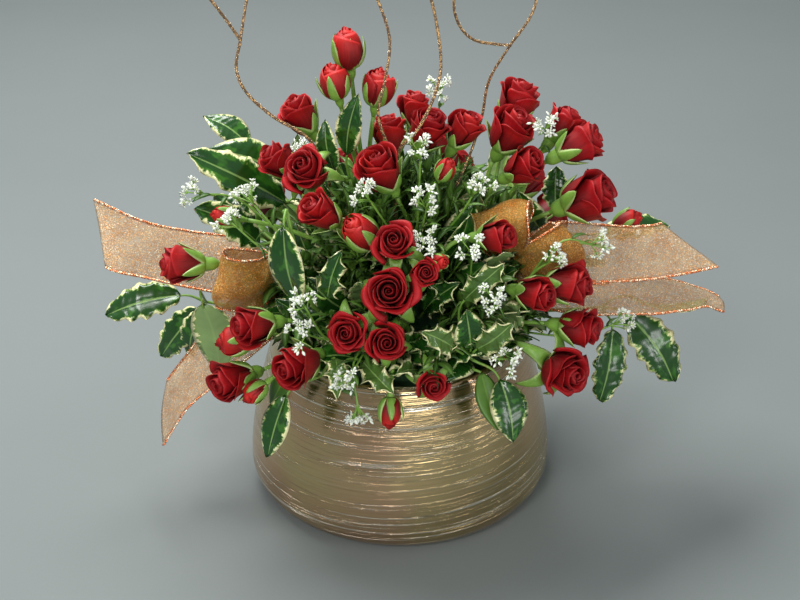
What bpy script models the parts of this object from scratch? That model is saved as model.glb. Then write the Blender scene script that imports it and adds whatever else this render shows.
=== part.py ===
"""Vase of roses: a squat brushed bowl of floral foam that holds spray roses, variegated holly,
white filler flowers, wired ribbon bows and curly twigs.

The layout is written in millimetres and the solids are in metres. +Z is up, the front faces -Y,
and the origin is the middle of the bowl's flat base. Every stem runs out from one centre in the
foam, so that neighbours fan apart.
"""

import math
import random

import bmesh
import bpy
from mathutils import Vector

MM = 0.001
FLAT_ANGLE = math.radians(1.0)

# The underside among the four sides of a thin sheet's section
SHEET_UNDERSIDE = 1

# Bowl
BELLY_RADIUS = 100.0
BELLY_HEIGHT = 19.0
FOOT_RADIUS = 80.0
RIM_RADIUS = 79.5
BOWL_HEIGHT = 114.0
SHOULDER_POWER = 1.6
WALL = 4.0
FLOOR = 6.0
BOWL_STEPS = 32
FOOT_STEPS = 3
SIDE_STEPS = 4

# Foam
STEM_CENTRE = (0.0, 0.0, 100.0)
FOAM_DOME_RADIUS = 68.0
FOAM_DOME_HEIGHT = 50.0
FOAM_BODY_RADIUS = 75.0
FOAM_STEPS = 20
FOAM_DOME_ANGLES = (0, 30, 60, 82)
SEAT_GAP = 0.3

# Stems
STEM_START = 34.0
HOLE_END = 33.5
HOLE_TOP = 86.0
FORK_REACH = 74.0
FORK_STEP = 1.5
LOWEST_EXIT = 17.0
MAIN_RADIUS = 1.9
BRANCH_RADIUS = 1.3
HOLE_SIDES = 4
STEM_SIDES = 5
HIP_LENGTH = 9.0

# Rose heads
PETALS = 5
CUP_GAP = 0.4
SEPAL_THICKNESS = 0.9
SEPAL_CLEARANCE = 6.0
TOUCH_WIDTH = 2.5
TOUCH_THICKNESS = 1.2
REFLEXED_FROM = 0.8
CLOSED_BELOW = 0.4
LARGE_WIDTH = 28.5
WIDE_OPEN = 0.9

# Holly
LEAF_THICKNESS = 0.9
TWIG_RADIUS = 1.5
TWIG_SIDES = 4
STALK_WIDTH = 2.2

# Filler
FILLER_RADIUS = 0.8
FILLER_MAIN_RADIUS = 1.5
FILLER_SIDES = 3
FLORET_REACH = 1.45
CLUSTER_RADIUS = 5.5

# Ribbon
RIBBON_WIDTH = 38.0
RIBBON_THICKNESS = 0.8
KNOT_WIDTH = 9.0
KNOT_RADIUS = 6.5
GATHER_LENGTH = 34.0

# Curly twigs
CURL_RADIUS = 1.1
CURL_TIP_RADIUS = 0.7
CURL_SIDES = 3

# Rose heads by stem spray and by group of touching heads. Each head is its middle (x, y, z), its
# width, how far it has opened from 0 to 1, and where it faces: degrees round from the front
# towards +X and degrees above level.
ROSES = {
    "rose_stems_top_left": {
        "roses_tallest_buds": [
            ((-31, 6, 299), 19, 0.1, (-90, 84)),
            ((-39, -6, 283), 17, 0.1, (-60, 76)),
        ],
        "rose_bud_top": [((-13, 0, 277), 18, 0.2, (60, 80))],
        "rose_upper_left": [((-61, 18, 251), 25, 0.5, (-80, 60))],
    },
    "rose_stems_left_shoulder": {
        "roses_left_shoulder": [
            ((-56, -27, 235), 33, 1.0, (-25, 45)),
            ((-74, -6, 231), 24, 0.6, (-80, 40)),
        ],
        "roses_left_front_buds": [
            ((-46, -56, 221), 25, 0.5, (-60, 42)),
            ((-24, -63, 212), 20, 0.1, (-50, 48)),
        ],
        "rose_bud_left": [((-105, -37, 209), 13, 0.0, (-74, 18))],
    },
    "rose_stems_top": {
        "roses_top": [
            ((9, 22, 253), 22, 0.5, (170, 78)),
            ((-6, 9, 242), 24, 0.5, (-130, 76)),
            ((16, 4, 247), 28, 0.6, (60, 68)),
            ((39, 9, 245), 24, 0.5, (80, 62)),
        ],
        "rose_top_front": [((-11, -36, 239), 29, 0.5, (-50, 62))],
        "rose_bud_centre": [((27, -30, 237), 12, 0.0, (60, 60))],
    },
    "rose_stems_right": {
        "roses_right_shoulder": [
            ((68, 8, 245), 31, 0.6, (70, 64)),
            ((73, 33, 254), 29, 0.6, (110, 72)),
            ((75, -9, 229), 26, 0.6, (60, 42)),
        ],
        "roses_right_top": [
            ((102, 30, 239), 25, 0.6, (105, 52)),
            ((110, 8, 236), 28, 0.5, (88, 32)),
        ],
        "rose_right_large": [((115, -12, 210), 36, 0.7, (78, 30))],
        "rose_bud_right": [((147, 25, 174), 15, 0.1, (94, 33))],
    },
    "rose_stems_front": {
        "rose_front_right": [((56, -60, 208), 22, 0.5, (62, 18))],
        "roses_front": [
            ((-3, -73, 210), 27, 0.9, (-8, 46)),
            ((-6, -89, 187), 34, 1.0, (-3, 30)),
            ((14, -83, 196), 18, 0.9, (12, 30)),
            ((23, -76, 199), 10, 0.0, (38, 24)),
        ],
        "roses_front_low": [
            ((-30, -93, 162), 28, 1.0, (-12, 25)),
            ((-8, -96, 157), 26, 0.9, (6, 28)),
        ],
        "rose_front_rim": [((19, -99, 130), 21, 0.9, (9, 12))],
        "rose_bud_hanging": [((-6, -103, 112), 14, 0.0, (-3, -55))],
    },
    "rose_stems_left": {
        "rose_left": [((-134, -26, 170), 27, 0.5, (-74, 6))],
    },
    "rose_stems_left_low": {
        "roses_left_middle": [
            ((-87, -75, 156), 27, 0.6, (-56, 10)),
            ((-100, -68, 141), 17, 0.3, (-72, -2)),
        ],
        "roses_left_low": [
            ((-102, -71, 114), 29, 0.6, (-48, 4)),
            ((-88, -81, 112), 13, 0.1, (-52, -22)),
        ],
        "rose_left_rim": [((-61, -92, 139), 30, 0.6, (-40, 6))],
    },
    "rose_stems_right_low": {
        "roses_right_low": [
            ((80, -69, 174), 24, 0.6, (55, 8)),
            ((101, -55, 172), 29, 0.6, (68, 12)),
            ((109, -61, 146), 28, 0.7, (66, 6)),
            ((99, -79, 126), 36, 1.0, (38, 8)),
        ],
    },
    "rose_stems_back_left": {
        "roses_back_left": [
            ((-107, 63, 157), 30, 0.7, (-122, 18)),
            ((-93, 73, 177), 27, 0.6, (-132, 34)),
            ((-88, 85, 158), 28, 0.8, (-140, 20)),
        ],
        "roses_back_middle": [
            ((-24, 101, 162), 31, 0.8, (-168, 24)),
            ((-38, 92, 182), 28, 0.7, (-156, 38)),
        ],
    },
    "rose_stems_back_right": {
        "roses_back_right": [
            ((101, 70, 156), 31, 0.8, (124, 18)),
            ((86, 82, 175), 27, 0.6, (132, 34)),
        ],
        "roses_back_top": [
            ((37, 92, 182), 29, 0.8, (160, 34)),
            ((27, 77, 202), 26, 0.6, (164, 52)),
        ],
    },
}

# Holly twigs. Each has its route and its leaves. A leaf is its base, its tip, its width, whether
# it is spiny, and where its glossy side faces, in degrees as above.
HOLLY = {
    "holly_upper_left": (
        [(-22, 3, 142), (-44, 8, 178), (-64, 13, 202)],
        [
            ((-95, 34, 222), (-125, 45, 238), 24, False, (60, 20)),
            ((-72, 16, 209), (-119, 7, 232), 30, False, (-20, 60)),
            ((-72, 2, 199), (-128, -15, 240), 31, True, (-10, 55)),
        ],
    ),
    "holly_left": (
        [(-30, -5, 129), (-56, -10, 156), (-78, -14, 180)],
        [
            ((-87, -18, 180), (-124, -24, 208), 26, True, (-30, 60)),
            ((-92, 4, 182), (-118, 18, 194), 22, True, (-20, 50)),
        ],
    ),
    "holly_left_low": (
        [(-33, 0, 109), (-84, 4, 118), (-126, 8, 124)],
        [
            ((-142, 8, 129), (-191, 2, 117), 27, True, (-20, 48)),
            ((-130, 10, 116), (-139, 6, 83), 20, True, (-28, 30)),
            ((-122, -36, 148), (-113, -45, 101), 31, False, (165, -5)),
            ((-132, 16, 114), (-160, 18, 76), 24, True, (-25, 30)),
        ],
    ),
    "holly_top_left": (
        [(-12, 0, 131), (-24, 0, 182), (-31, -4, 218)],
        [
            ((-32, -12, 238), (-24, -14, 278), 17, False, (-20, 15)),
            ((-40, -2, 222), (-45, 4, 254), 15, False, (-30, 40)),
        ],
    ),
    "holly_front_left": (
        [(-19, -22, 120), (-40, -46, 142), (-54, -64, 168), (-65, -70, 230)],
        [
            ((-66, -78, 224), (-58, -80, 172), 24, False, (-30, 10)),
            ((-42, -80, 178), (-33, -84, 211), 20, True, (-20, 25)),
        ],
    ),
    "holly_front_low": (
        [(-20, -24, 112), (-36, -56, 122), (-48, -76, 121)],
        [
            ((-68, -84, 113), (-80, -97, 76), 21, True, (-40, 20)),
            ((-38, -84, 138), (-36, -112, 128), 17, True, (-10, 55)),
            ((-22, -84, 136), (-4, -106, 128), 20, True, (0, 55)),
        ],
    ),
    "holly_front_right": (
        [(16, -26, 114), (32, -54, 126), (42, -70, 130)],
        [
            ((38, -72, 172), (60, -80, 200), 20, True, (10, 30)),
            ((42, -77, 142), (38, -86, 174), 20, False, (10, 20)),
            ((32, -82, 144), (12, -98, 166), 21, True, (0, 35)),
            ((46, -80, 143), (66, -88, 166), 22, True, (20, 40)),
            ((60, -78, 120), (68, -96, 86), 24, True, (16, 20)),
        ],
    ),
    "holly_right": (
        [(33, 0, 110), (86, -4, 124), (128, -6, 128)],
        [
            ((134, -26, 124), (127, -42, 80), 25, True, (26, 22)),
            ((146, -4, 122), (178, -16, 78), 30, True, (16, 28)),
            ((150, 16, 124), (204, 25, 116), 27, False, (0, -70)),
        ],
    ),
    "holly_upper_right": (
        [(24, 9, 123), (54, 22, 156), (76, 24, 172)],
        [
            ((90, 10, 175), (73, 4, 207), 18, False, (-20, 30)),
            ((100, 26, 182), (100, 36, 208), 18, True, (0, 40)),
            ((134, 42, 156), (178, 44, 160), 22, True, (0, 60)),
        ],
    ),
    "holly_back_left": (
        [(-14, 28, 113), (-36, 66, 128), (-52, 88, 132)],
        [
            ((-58, 96, 134), (-82, 126, 118), 28, True, (-150, 50)),
            ((-70, 72, 128), (-118, 92, 112), 27, True, (-130, 55)),
            ((-60, 72, 166), (-68, 84, 210), 20, False, (-150, 30)),
            ((-26, 92, 132), (-10, 124, 118), 26, True, (175, 50)),
        ],
    ),
    "holly_back_right": (
        [(14, 28, 114), (34, 66, 130), (48, 86, 134)],
        [
            ((54, 96, 136), (60, 130, 118), 28, True, (160, 50)),
            ((30, 96, 126), (22, 126, 96), 27, True, (175, 40)),
            ((72, 80, 126), (106, 104, 106), 28, True, (140, 40)),
            ((94, 44, 126), (140, 62, 122), 28, False, (125, 60)),
            ((60, 76, 160), (64, 98, 204), 22, False, (150, 30)),
        ],
    ),
}

# Filler sprays: where each leaves the foam, in degrees as above, then each cluster's middle and the
# place where its stalk bends.
FILLER = {
    "filler_left": (
        (-64, 46),
        [
            ((-90, -40, 223), (-68, -44, 196)),
            ((-122, -32, 222), (-92, -24, 210)),
            ((-98, -56, 214), (-76, -52, 190)),
        ],
    ),
    "filler_top": (
        (24, 72),
        [
            ((12, -38, 252), (11, -32, 216)),
            ((16, -58, 228), (13, -44, 204)),
            ((17, -68, 209), (14, -46, 194)),
            ((-20, -62, 236), (-8, -50, 210)),
            ((45, -44, 231), (34, -38, 208)),
        ],
    ),
    "filler_right": (
        (64, 22),
        [
            ((92, -54, 190), (78, -46, 172)),
            ((118, -42, 192), (92, -50, 196)),
            ((136, -44, 140), (106, -48, 132)),
        ],
    ),
    "filler_front": (
        (-14, 34),
        [
            ((-55, -100, 185), (-42, -78, 148)),
            ((-56, -100, 166), (-42, -78, 148)),
            ((-29, -113, 143), (-24, -94, 143)),
            ((-24, -112, 118), (-27, -96, 143)),
        ],
    ),
    "filler_front_right": (
        (44, 22),
        [
            ((54, -94, 184), (56, -64, 160)),
            ((64, -104, 150), (66, -74, 136)),
            ((42, -78, 208), (42, -60, 180)),
        ],
    ),
    "filler_back": (
        (-176, 44),
        [
            ((-66, 60, 208), (-44, 56, 184)),
            ((0, 84, 214), (-2, 68, 184)),
            ((72, 60, 208), (50, 58, 190)),
            ((24, 15, 270), (22, 42, 232)),
            ((88, -12, 256), (80, 30, 215)),
        ],
    ),
}

# Ribbon bows: the knot, and the middle line of each length of ribbon with the direction across it.
# A loop goes out and comes back. A tail's cut end runs further on one of its edges by its slant,
# which is kept below with a 0 for each loop.
RIBBONS = {
    "ribbon_left": (
        (-70, -2, 150),
        [
            [
                ((-72, -1, 150), (0.1, 0.3, 1.0)),
                ((-84, 2, 150), (0.3, 0.4, 1.0)),
                ((-106, 6, 152), (0.3, 0.7, 0.8)),
                ((-130, 5, 157), (0.3, 0.9, 0.65)),
                ((-154, 2, 164), (0.25, 0.95, 0.6)),
                ((-174, 0, 171), (0.15, 0.9, 0.7)),
                ((-190, 6, 175), (0.0, 0.9, 0.75)),
            ],
            [
                ((-72, -4, 148), (-0.3, 0.3, 1.0)),
                ((-86, -14, 135), (-0.4, 0.5, 0.8)),
                ((-104, -22, 118), (-0.5, 0.7, 0.5)),
                ((-124, -24, 98), (-0.5, 0.85, 0.2)),
                ((-142, -24, 79), (-0.4, 0.95, 0.0)),
                ((-155, -26, 60), (-0.4, 0.9, 0.1)),
            ],
            [
                ((-71, -5, 152), (0.1, 0.3, 1.0)),
                ((-76, -15, 160), (0.1, 0.3, 1.0)),
                ((-87, -36, 160), (0.2, -0.1, 1.0)),
                ((-99, -45, 163), (0.2, -0.1, 1.0)),
                ((-110, -41, 165), (0.2, -0.1, 1.0)),
                ((-110, -31, 165), (0.2, -0.1, 1.0)),
                ((-99, -26, 163), (0.2, -0.1, 1.0)),
                ((-86, -22, 159), (0.2, -0.1, 1.0)),
            ],
        ],
    ),
    "ribbon_right": (
        (68, -18, 172),
        [
            [
                ((71, -17, 172), (-0.1, 0.4, 1.0)),
                ((84, -12, 172), (-0.1, 0.5, 0.9)),
                ((106, -8, 170), (-0.1, 0.7, 0.75)),
                ((128, -4, 167), (-0.1, 0.75, 0.65)),
                ((150, 0, 165), (-0.1, 0.8, 0.55)),
                ((169, 2, 166), (0.0, 0.8, 0.55)),
                ((184, 4, 168), (0.0, 0.8, 0.55)),
            ],
            [
                ((71, -19, 170), (-0.2, 0.5, 0.9)),
                ((84, -24, 160), (-0.2, 0.7, 0.7)),
                ((104, -26, 150), (-0.1, 0.95, 0.3)),
                ((128, -20, 142), (-0.1, 1.0, 0.0)),
                ((152, -12, 140), (-0.1, 1.0, 0.1)),
                ((176, -6, 139), (0.0, 1.0, 0.0)),
                ((194, -3, 136), (0.1, 1.0, -0.2)),
                ((208, -2, 129), (0.2, 1.0, -0.3)),
            ],
            [
                ((67, -21, 174), (1.0, -0.1, 0.2)),
                ((62, -32, 184), (0.9, -0.3, 0.3)),
                ((60, -35, 198), (0.9, -0.35, 0.35)),
                ((60, -29, 209), (0.9, -0.35, 0.35)),
                ((62, -18, 204), (0.9, -0.35, 0.35)),
                ((66, -14, 188), (0.9, -0.3, 0.3)),
                ((67, -15, 176), (1.0, -0.1, 0.2)),
            ],
            [
                ((70, -20, 173), (-0.3, 0.3, 1.0)),
                ((80, -35, 176), (-0.3, 0.0, 1.0)),
                ((94, -40, 181), (-0.4, -0.1, 1.0)),
                ((107, -32, 184), (-0.4, -0.1, 1.0)),
                ((99, -22, 181), (-0.4, -0.1, 1.0)),
                ((84, -20, 177), (-0.3, 0.0, 1.0)),
            ],
        ],
    ),
}

END_SLANTS = {
    "ribbon_left": (15, -12, 0),
    "ribbon_right": (-13, 6, 0, 0),
}

# Curly twigs: the route of each main stem, then of each side shoot, which starts on the stem.
CURLY_TWIGS = {
    "curly_twig_left": [
        [
            (-16, -3, 131), (-34, -6, 168), (-42, -2, 208), (-54, 0, 241), (-76, 2, 256), (-92, 6, 270),
            (-98, 10, 284), (-95, 15, 301), (-91, 22, 322), (-85, 28, 346), (-88, 34, 368), (-99, 34, 380),
            (-110, 28, 374), (-108, 22, 362),
        ],
        [(-95, 15, 300), (-104, 12, 316), (-113, 9, 330), (-127, 4, 346), (-140, 2, 366), (-138, 4, 384)],
    ],
    "curly_twigs_right": [
        [
            (0, -4, 134), (-4, -14, 175), (-2, -16, 215), (-1, -16, 241), (11, -17, 257), (21, -12, 278),
            (24, -4, 296), (19, 3, 326), (10, 7, 350), (12, 12, 374), (24, 14, 388), (36, 12, 382),
            (36, 8, 370),
        ],
        [
            (-2, -16, 226), (-8, -13, 246), (-13, -13, 264), (-9, -11, 284), (-6, 0, 306), (-14, 8, 330),
            (-24, 14, 352), (-22, 20, 374), (-12, 22, 386),
        ],
        [
            (-4, -14, 176), (8, -13, 179), (24, -7, 193), (40, 8, 220), (50, 21, 246), (54, 20, 272),
            (65, 12, 297), (76, 10, 315), (80, 12, 328), (80, 16, 348), (70, 20, 366), (56, 18, 374),
        ],
        [
            (66, 12, 298), (56, 6, 301), (43, 0, 306), (34, -4, 317), (31, -6, 333), (38, -4, 348),
            (50, 0, 356), (60, 2, 350),
        ],
    ],
}

# Colour, roughness and metallic value of each kind of piece
FINISHES = {
    "bowl": ((0.36, 0.27, 0.16), 0.3, 0.9),
    "foam": ((0.03, 0.09, 0.04), 0.95, 0.0),
    "petals": ((0.45, 0.01, 0.02), 0.6, 0.0),
    "rose_stems": ((0.12, 0.3, 0.05), 0.5, 0.0),
    "holly": ((0.02, 0.11, 0.03), 0.3, 0.0),
    "filler": ((0.8, 0.85, 0.7), 0.7, 0.0),
    "ribbon": ((0.6, 0.28, 0.12), 0.4, 0.2),
    "curly_twigs": ((0.2, 0.12, 0.06), 0.5, 0.3),
}


def clear_scene():
    for item in list(bpy.data.objects):
        bpy.data.objects.remove(item, do_unlink=True)


def make_materials():
    materials = {}
    for name, (colour, roughness, metallic) in FINISHES.items():
        material = bpy.data.materials.new(name)
        material.use_nodes = True
        shader = material.node_tree.nodes["Principled BSDF"]
        shader.inputs["Base Color"].default_value = (*colour, 1.0)
        shader.inputs["Roughness"].default_value = roughness
        shader.inputs["Metallic"].default_value = metallic
        materials[name] = material
    return materials


def make_collection(name):
    collection = bpy.data.collections.new(name)
    bpy.context.scene.collection.children.link(collection)
    return collection


def direction(facing):
    """The unit vector that points round from the front by the first angle and up by the second."""
    around, above = (math.radians(angle) for angle in facing)
    level = math.cos(above)
    return Vector((math.sin(around) * level, -math.cos(around) * level, math.sin(above)))


def from_centre(towards, reach):
    return Vector(STEM_CENTRE) + towards * reach


def frame_along(axis, hint=(0.0, 0.0, 1.0)):
    """Two unit vectors square to an axis and to each other."""
    axis = axis.normalized()
    side = Vector(hint).cross(axis)
    if side.length < 0.05:
        side = Vector((1.0, 0.0, 0.0)).cross(axis)
    side.normalize()
    return side, axis.cross(side)


def ring(centre, axis, radii, phase=0.0, hint=(0.0, 0.0, 1.0)):
    """A loop of points round an axis, one for each radius."""
    side, up = frame_along(axis, hint)
    step = 2.0 * math.pi / len(radii)
    points = []
    for index, radius in enumerate(radii):
        angle = phase + index * step
        points.append(centre + (side * math.cos(angle) + up * math.sin(angle)) * radius)
    return points


class Skin:
    """Points and faces of one closed solid, in millimetres."""

    def __init__(self):
        self.points = []
        self.faces = []

    def add(self, points):
        first = len(self.points)
        self.points.extend(points)
        return list(range(first, len(self.points)))

    def bridge(self, lower, upper):
        count = len(lower)
        for index in range(count):
            after = (index + 1) % count
            self.faces.append((lower[index], lower[after], upper[after]))
            self.faces.append((lower[index], upper[after], upper[index]))

    def bridge_sheet(self, lower, upper):
        """Join two sections of a thin sheet, whose broad sides are split along the same corners."""
        count = len(lower)
        for index in range(count):
            after = (index + 1) % count
            if index == SHEET_UNDERSIDE:
                self.faces.append((lower[index], lower[after], upper[index]))
                self.faces.append((lower[after], upper[after], upper[index]))
            else:
                self.faces.append((lower[index], lower[after], upper[after]))
                self.faces.append((lower[index], upper[after], upper[index]))

    def fan(self, loop, tip):
        count = len(loop)
        for index in range(count):
            self.faces.append((loop[index], loop[(index + 1) % count], tip))

    def cap(self, loop):
        self.faces.append(tuple(loop))

    def mesh(self, name):
        mesh = bpy.data.meshes.new(name)
        mesh.from_pydata([point * MM for point in self.points], [], self.faces)
        mesh.update()
        return mesh


def tube(points, radii, sides):
    """A tube along a list of points, with flat ends."""
    skin = Skin()
    loops = []
    hint = (0.0, 0.0, 1.0)
    for index, point in enumerate(points):
        before = points[max(index - 1, 0)]
        after = points[min(index + 1, len(points) - 1)]
        axis = after - before
        side, up = frame_along(axis, hint)
        hint = up
        loops.append(skin.add(ring(point, axis, [radii[index]] * sides, hint=up)))
    for lower, upper in zip(loops, loops[1:]):
        skin.bridge(lower, upper)
    skin.cap(list(reversed(loops[0])))
    skin.cap(loops[-1])
    return skin


def bezier(start, start_pull, end_pull, end, count):
    points = []
    for index in range(count + 1):
        t = index / count
        s = 1.0 - t
        points.append(
            start * s ** 3 + start_pull * (3 * s * s * t) + end_pull * (3 * s * t * t) + end * t ** 3
        )
    return points


def smooth_route(route, count):
    """Points along a smooth curve through a route's own points."""
    points = [Vector(point) for point in route]
    ends = [points[0] * 2 - points[1]] + points + [points[-1] * 2 - points[-2]]
    result = []
    for index in range(1, len(ends) - 2):
        before, start, end, after = ends[index - 1:index + 3]
        for step in range(count):
            t = step / count
            result.append(0.5 * (
                start * 2 + (end - before) * t + (before * 2 - start * 5 + end * 4 - after) * t * t
                + (start * 3 - before - end * 3 + after) * t ** 3
            ))
    result.append(points[-1])
    return result


def make_object(name, mesh, material, collection):
    item = bpy.data.objects.new(name, mesh)
    item.data.materials.clear()
    item.data.materials.append(material)
    collection.objects.link(item)
    return item


def join(name, skins, material, collection):
    """One object from closed skins that run into each other."""
    body = make_object(name, skins[0].mesh(name), material, collection)
    if len(skins) > 1:
        pieces = make_collection(name + "_pieces")
        for index, skin in enumerate(skins[1:]):
            piece_name = f"{name}_piece_{index}"
            make_object(piece_name, skin.mesh(piece_name), material, pieces)
        union = body.modifiers.new("Union", "BOOLEAN")
        union.operation = "UNION"
        union.operand_type = "COLLECTION"
        union.collection = pieces
        union.solver = "MANIFOLD"
        apply_modifiers(body)
        for piece in list(pieces.objects):
            bpy.data.objects.remove(piece, do_unlink=True)
        bpy.data.collections.remove(pieces)
        merge_flat_faces(body.data)
    body.data.shade_smooth()
    body.data.set_sharp_from_angle(angle=math.radians(40))
    return body


def merge_flat_faces(mesh):
    """The same surface with the flat faces that a union has split made whole, then in triangles."""
    shape = bmesh.new()
    shape.from_mesh(mesh)
    bmesh.ops.dissolve_limit(shape, angle_limit=FLAT_ANGLE, verts=shape.verts[:], edges=shape.edges[:])
    bmesh.ops.triangulate(shape, faces=shape.faces[:])
    shape.to_mesh(mesh)
    shape.free()


def apply_modifiers(item):
    depsgraph = bpy.context.evaluated_depsgraph_get()
    mesh = bpy.data.meshes.new_from_object(item.evaluated_get(depsgraph))
    item.modifiers.clear()
    item.data = mesh


def turned(name, profile, steps, material, collection):
    """A solid turned round +Z from a profile that runs down its outer side."""
    mesh = bpy.data.meshes.new(name)
    points = [(radius * MM, 0.0, height * MM) for radius, height in profile]
    mesh.from_pydata(points, [(index, index + 1) for index in range(len(points) - 1)], [])
    item = make_object(name, mesh, material, collection)
    screw = item.modifiers.new("Turn", "SCREW")
    screw.axis = "Z"
    screw.steps = steps
    screw.render_steps = steps
    screw.use_merge_vertices = True
    screw.merge_threshold = 0.00001
    return item


def bowl_side(height):
    """The bowl's outer radius at a height above its belly."""
    rise = (height - BELLY_HEIGHT) / (BOWL_HEIGHT - BELLY_HEIGHT)
    return BELLY_RADIUS - (BELLY_RADIUS - RIM_RADIUS) * max(rise, 0.0) ** SHOULDER_POWER


def make_bowl(material, collection):
    lip = WALL / 2.0
    profile = [(0.0, FLOOR), (FOOT_RADIUS, FLOOR), (BELLY_RADIUS - WALL, BELLY_HEIGHT + WALL)]
    for step in (1, 3):
        height = BELLY_HEIGHT + (BOWL_HEIGHT - BELLY_HEIGHT) * step / SIDE_STEPS
        profile.append((bowl_side(height) - WALL, height))
    profile.append((RIM_RADIUS - WALL, BOWL_HEIGHT - lip))
    profile.append((RIM_RADIUS - lip, BOWL_HEIGHT))
    for step in range(SIDE_STEPS, -1, -1):
        height = BELLY_HEIGHT + (BOWL_HEIGHT - lip - BELLY_HEIGHT) * step / SIDE_STEPS
        profile.append((bowl_side(height), height))
    for step in range(1, FOOT_STEPS + 1):
        angle = math.pi / 2 * step / FOOT_STEPS
        radius = FOOT_RADIUS + (BELLY_RADIUS - FOOT_RADIUS) * math.cos(angle)
        profile.append((radius, BELLY_HEIGHT * (1.0 - math.sin(angle))))
    profile.append((0.0, 0.0))
    bowl = turned("vase", profile, BOWL_STEPS, material, collection)
    bowl.data.shade_smooth()
    return bowl


def make_foam(exits, material, collection):
    """The foam block, with a plain hole for each stem that runs out from the centre."""
    centre = STEM_CENTRE[2]
    profile = []
    for angle in reversed(FOAM_DOME_ANGLES):
        turn = math.radians(angle)
        profile.append((FOAM_DOME_RADIUS * math.cos(turn), centre + FOAM_DOME_HEIGHT * math.sin(turn)))
    profile.insert(0, (0.0, centre + FOAM_DOME_HEIGHT))
    profile.append((FOAM_BODY_RADIUS, centre - 20.0))
    profile.append((FOAM_BODY_RADIUS, FLOOR + 12.0))
    profile.append((FOAM_BODY_RADIUS - 4.0, FLOOR + SEAT_GAP))
    profile.append((0.0, FLOOR + SEAT_GAP))
    foam = turned("floral_foam", profile, FOAM_STEPS, material, collection)
    apply_modifiers(foam)
    cutters = make_collection("cutters")
    for index, (towards, radius) in enumerate(exits):
        grown = (radius + SEAT_GAP) / math.cos(math.pi / HOLE_SIDES)
        ends = [from_centre(towards, HOLE_END), from_centre(towards, HOLE_TOP)]
        hole = tube(ends, [grown, grown], HOLE_SIDES)
        cutter = make_object(f"hole_{index}", hole.mesh(f"hole_{index}"), material, cutters)
        cutter.hide_render = True
        cutter.display_type = "WIRE"
    cut = foam.modifiers.new("Holes", "BOOLEAN")
    cut.operation = "DIFFERENCE"
    cut.operand_type = "COLLECTION"
    cut.collection = cutters
    cut.solver = "MANIFOLD"
    apply_modifiers(foam)
    for cutter in list(cutters.objects):
        bpy.data.objects.remove(cutter, do_unlink=True)
    bpy.data.collections.remove(cutters)
    return foam


def head_profile(width, opened):
    """Rings of a rose head from its base: radius, height and how far the petal tips stand out."""
    if opened < CLOSED_BELOW:
        return [
            (0.21 * width, 0.0, 0.0),
            (0.49 * width, 0.58 * width, 0.0),
            (0.37 * width, 1.12 * width, 0.03),
            (0.2 * width, 1.4 * width, 0.1),
        ], 1.3 * width
    part = (opened - 0.4) / 0.6
    tall = (1.12 - 0.34 * part) * width
    return [
        (0.17 * width, 0.0, 0.0),
        ((0.4 + 0.02 * part) * width, (0.46 - 0.18 * part) * width, 0.0),
        ((0.45 + 0.03 * part) * width, (0.8 - 0.06 * part) * tall, 0.09),
        ((0.33 + 0.03 * part) * width, 0.66 * tall, 0.0),
        ((0.27 + 0.02 * part) * width, 0.97 * tall, -0.1),
    ], (0.8 - 0.06 * part) * tall


def head_base(middle, width, opened, axis):
    rings, _ = head_profile(width, opened)
    return Vector(middle) - axis * (rings[-1][1] / 2.0)


def link_end(head):
    """The place inside a head from which a petal reaches to the next head."""
    lift = 0.35 if head[2] < CLOSED_BELOW else 0.12
    return Vector(head[0]) + direction(head[3]) * (lift * head[1])


def rose_head(middle, width, opened, facing):
    """A rose head with its petals in rows: a cup of lobed rings, one inside the other."""
    axis = direction(facing)
    base = head_base(middle, width, opened, axis)
    rings, centre_height = head_profile(width, opened)
    large = opened >= WIDE_OPEN or opened >= CLOSED_BELOW and width >= LARGE_WIDTH
    if opened >= CLOSED_BELOW and not large:
        rings = rings[:-1]
        centre_height = rings[-1][1] + 0.3 * width
    count = 2 * (PETALS if large else PETALS - 1)
    skin = Skin()
    loops = []
    for radius, height, lobe in rings:
        radii = [radius * (1.0 + (lobe if index % 2 else -lobe)) for index in range(count)]
        points = ring(base + axis * height, axis, radii)
        for index, point in enumerate(points):
            point += axis * (lobe * (0.5 if index % 2 else -0.5) * width)
        loops.append(skin.add(points))
    for lower, upper in zip(loops, loops[1:]):
        skin.bridge(lower, upper)
    tip = skin.add([base + axis * centre_height])[0]
    skin.fan(loops[-1], tip)
    skin.cap(list(reversed(loops[0])))
    return skin


def spray_exit(heads):
    """The direction in which a spray's main stem leaves the foam."""
    total = Vector()
    for middle, width, opened, facing in heads:
        base = head_base(middle, width, opened, direction(facing))
        total += (base - Vector(STEM_CENTRE)).normalized()
    total.normalize()
    return lifted(total)


def lifted(towards):
    """The direction, raised where needed so that a stem clears the bowl's rim."""
    above = math.degrees(math.asin(max(-1.0, min(1.0, towards.normalized().z))))
    around = math.degrees(math.atan2(towards.x, -towards.y))
    return direction((around, max(above, LOWEST_EXIT)))


def petal_between(head, other):
    """A flat petal that reaches from one head into the next, where the two touch."""
    start, end = link_end(head), link_end(other)
    link = end - start
    axis = direction(head[3])
    flat = link.cross(axis).normalized()
    across = flat.cross(link).normalized()
    middle = (start + end) / 2.0
    skin = Skin()
    loop = skin.add([
        middle + across * TOUCH_WIDTH, middle + flat * TOUCH_THICKNESS,
        middle - across * TOUCH_WIDTH, middle - flat * TOUCH_THICKNESS,
    ])
    first, last = skin.add([start, end])
    skin.fan(loop, last)
    skin.fan(list(reversed(loop)), first)
    return skin


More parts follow.
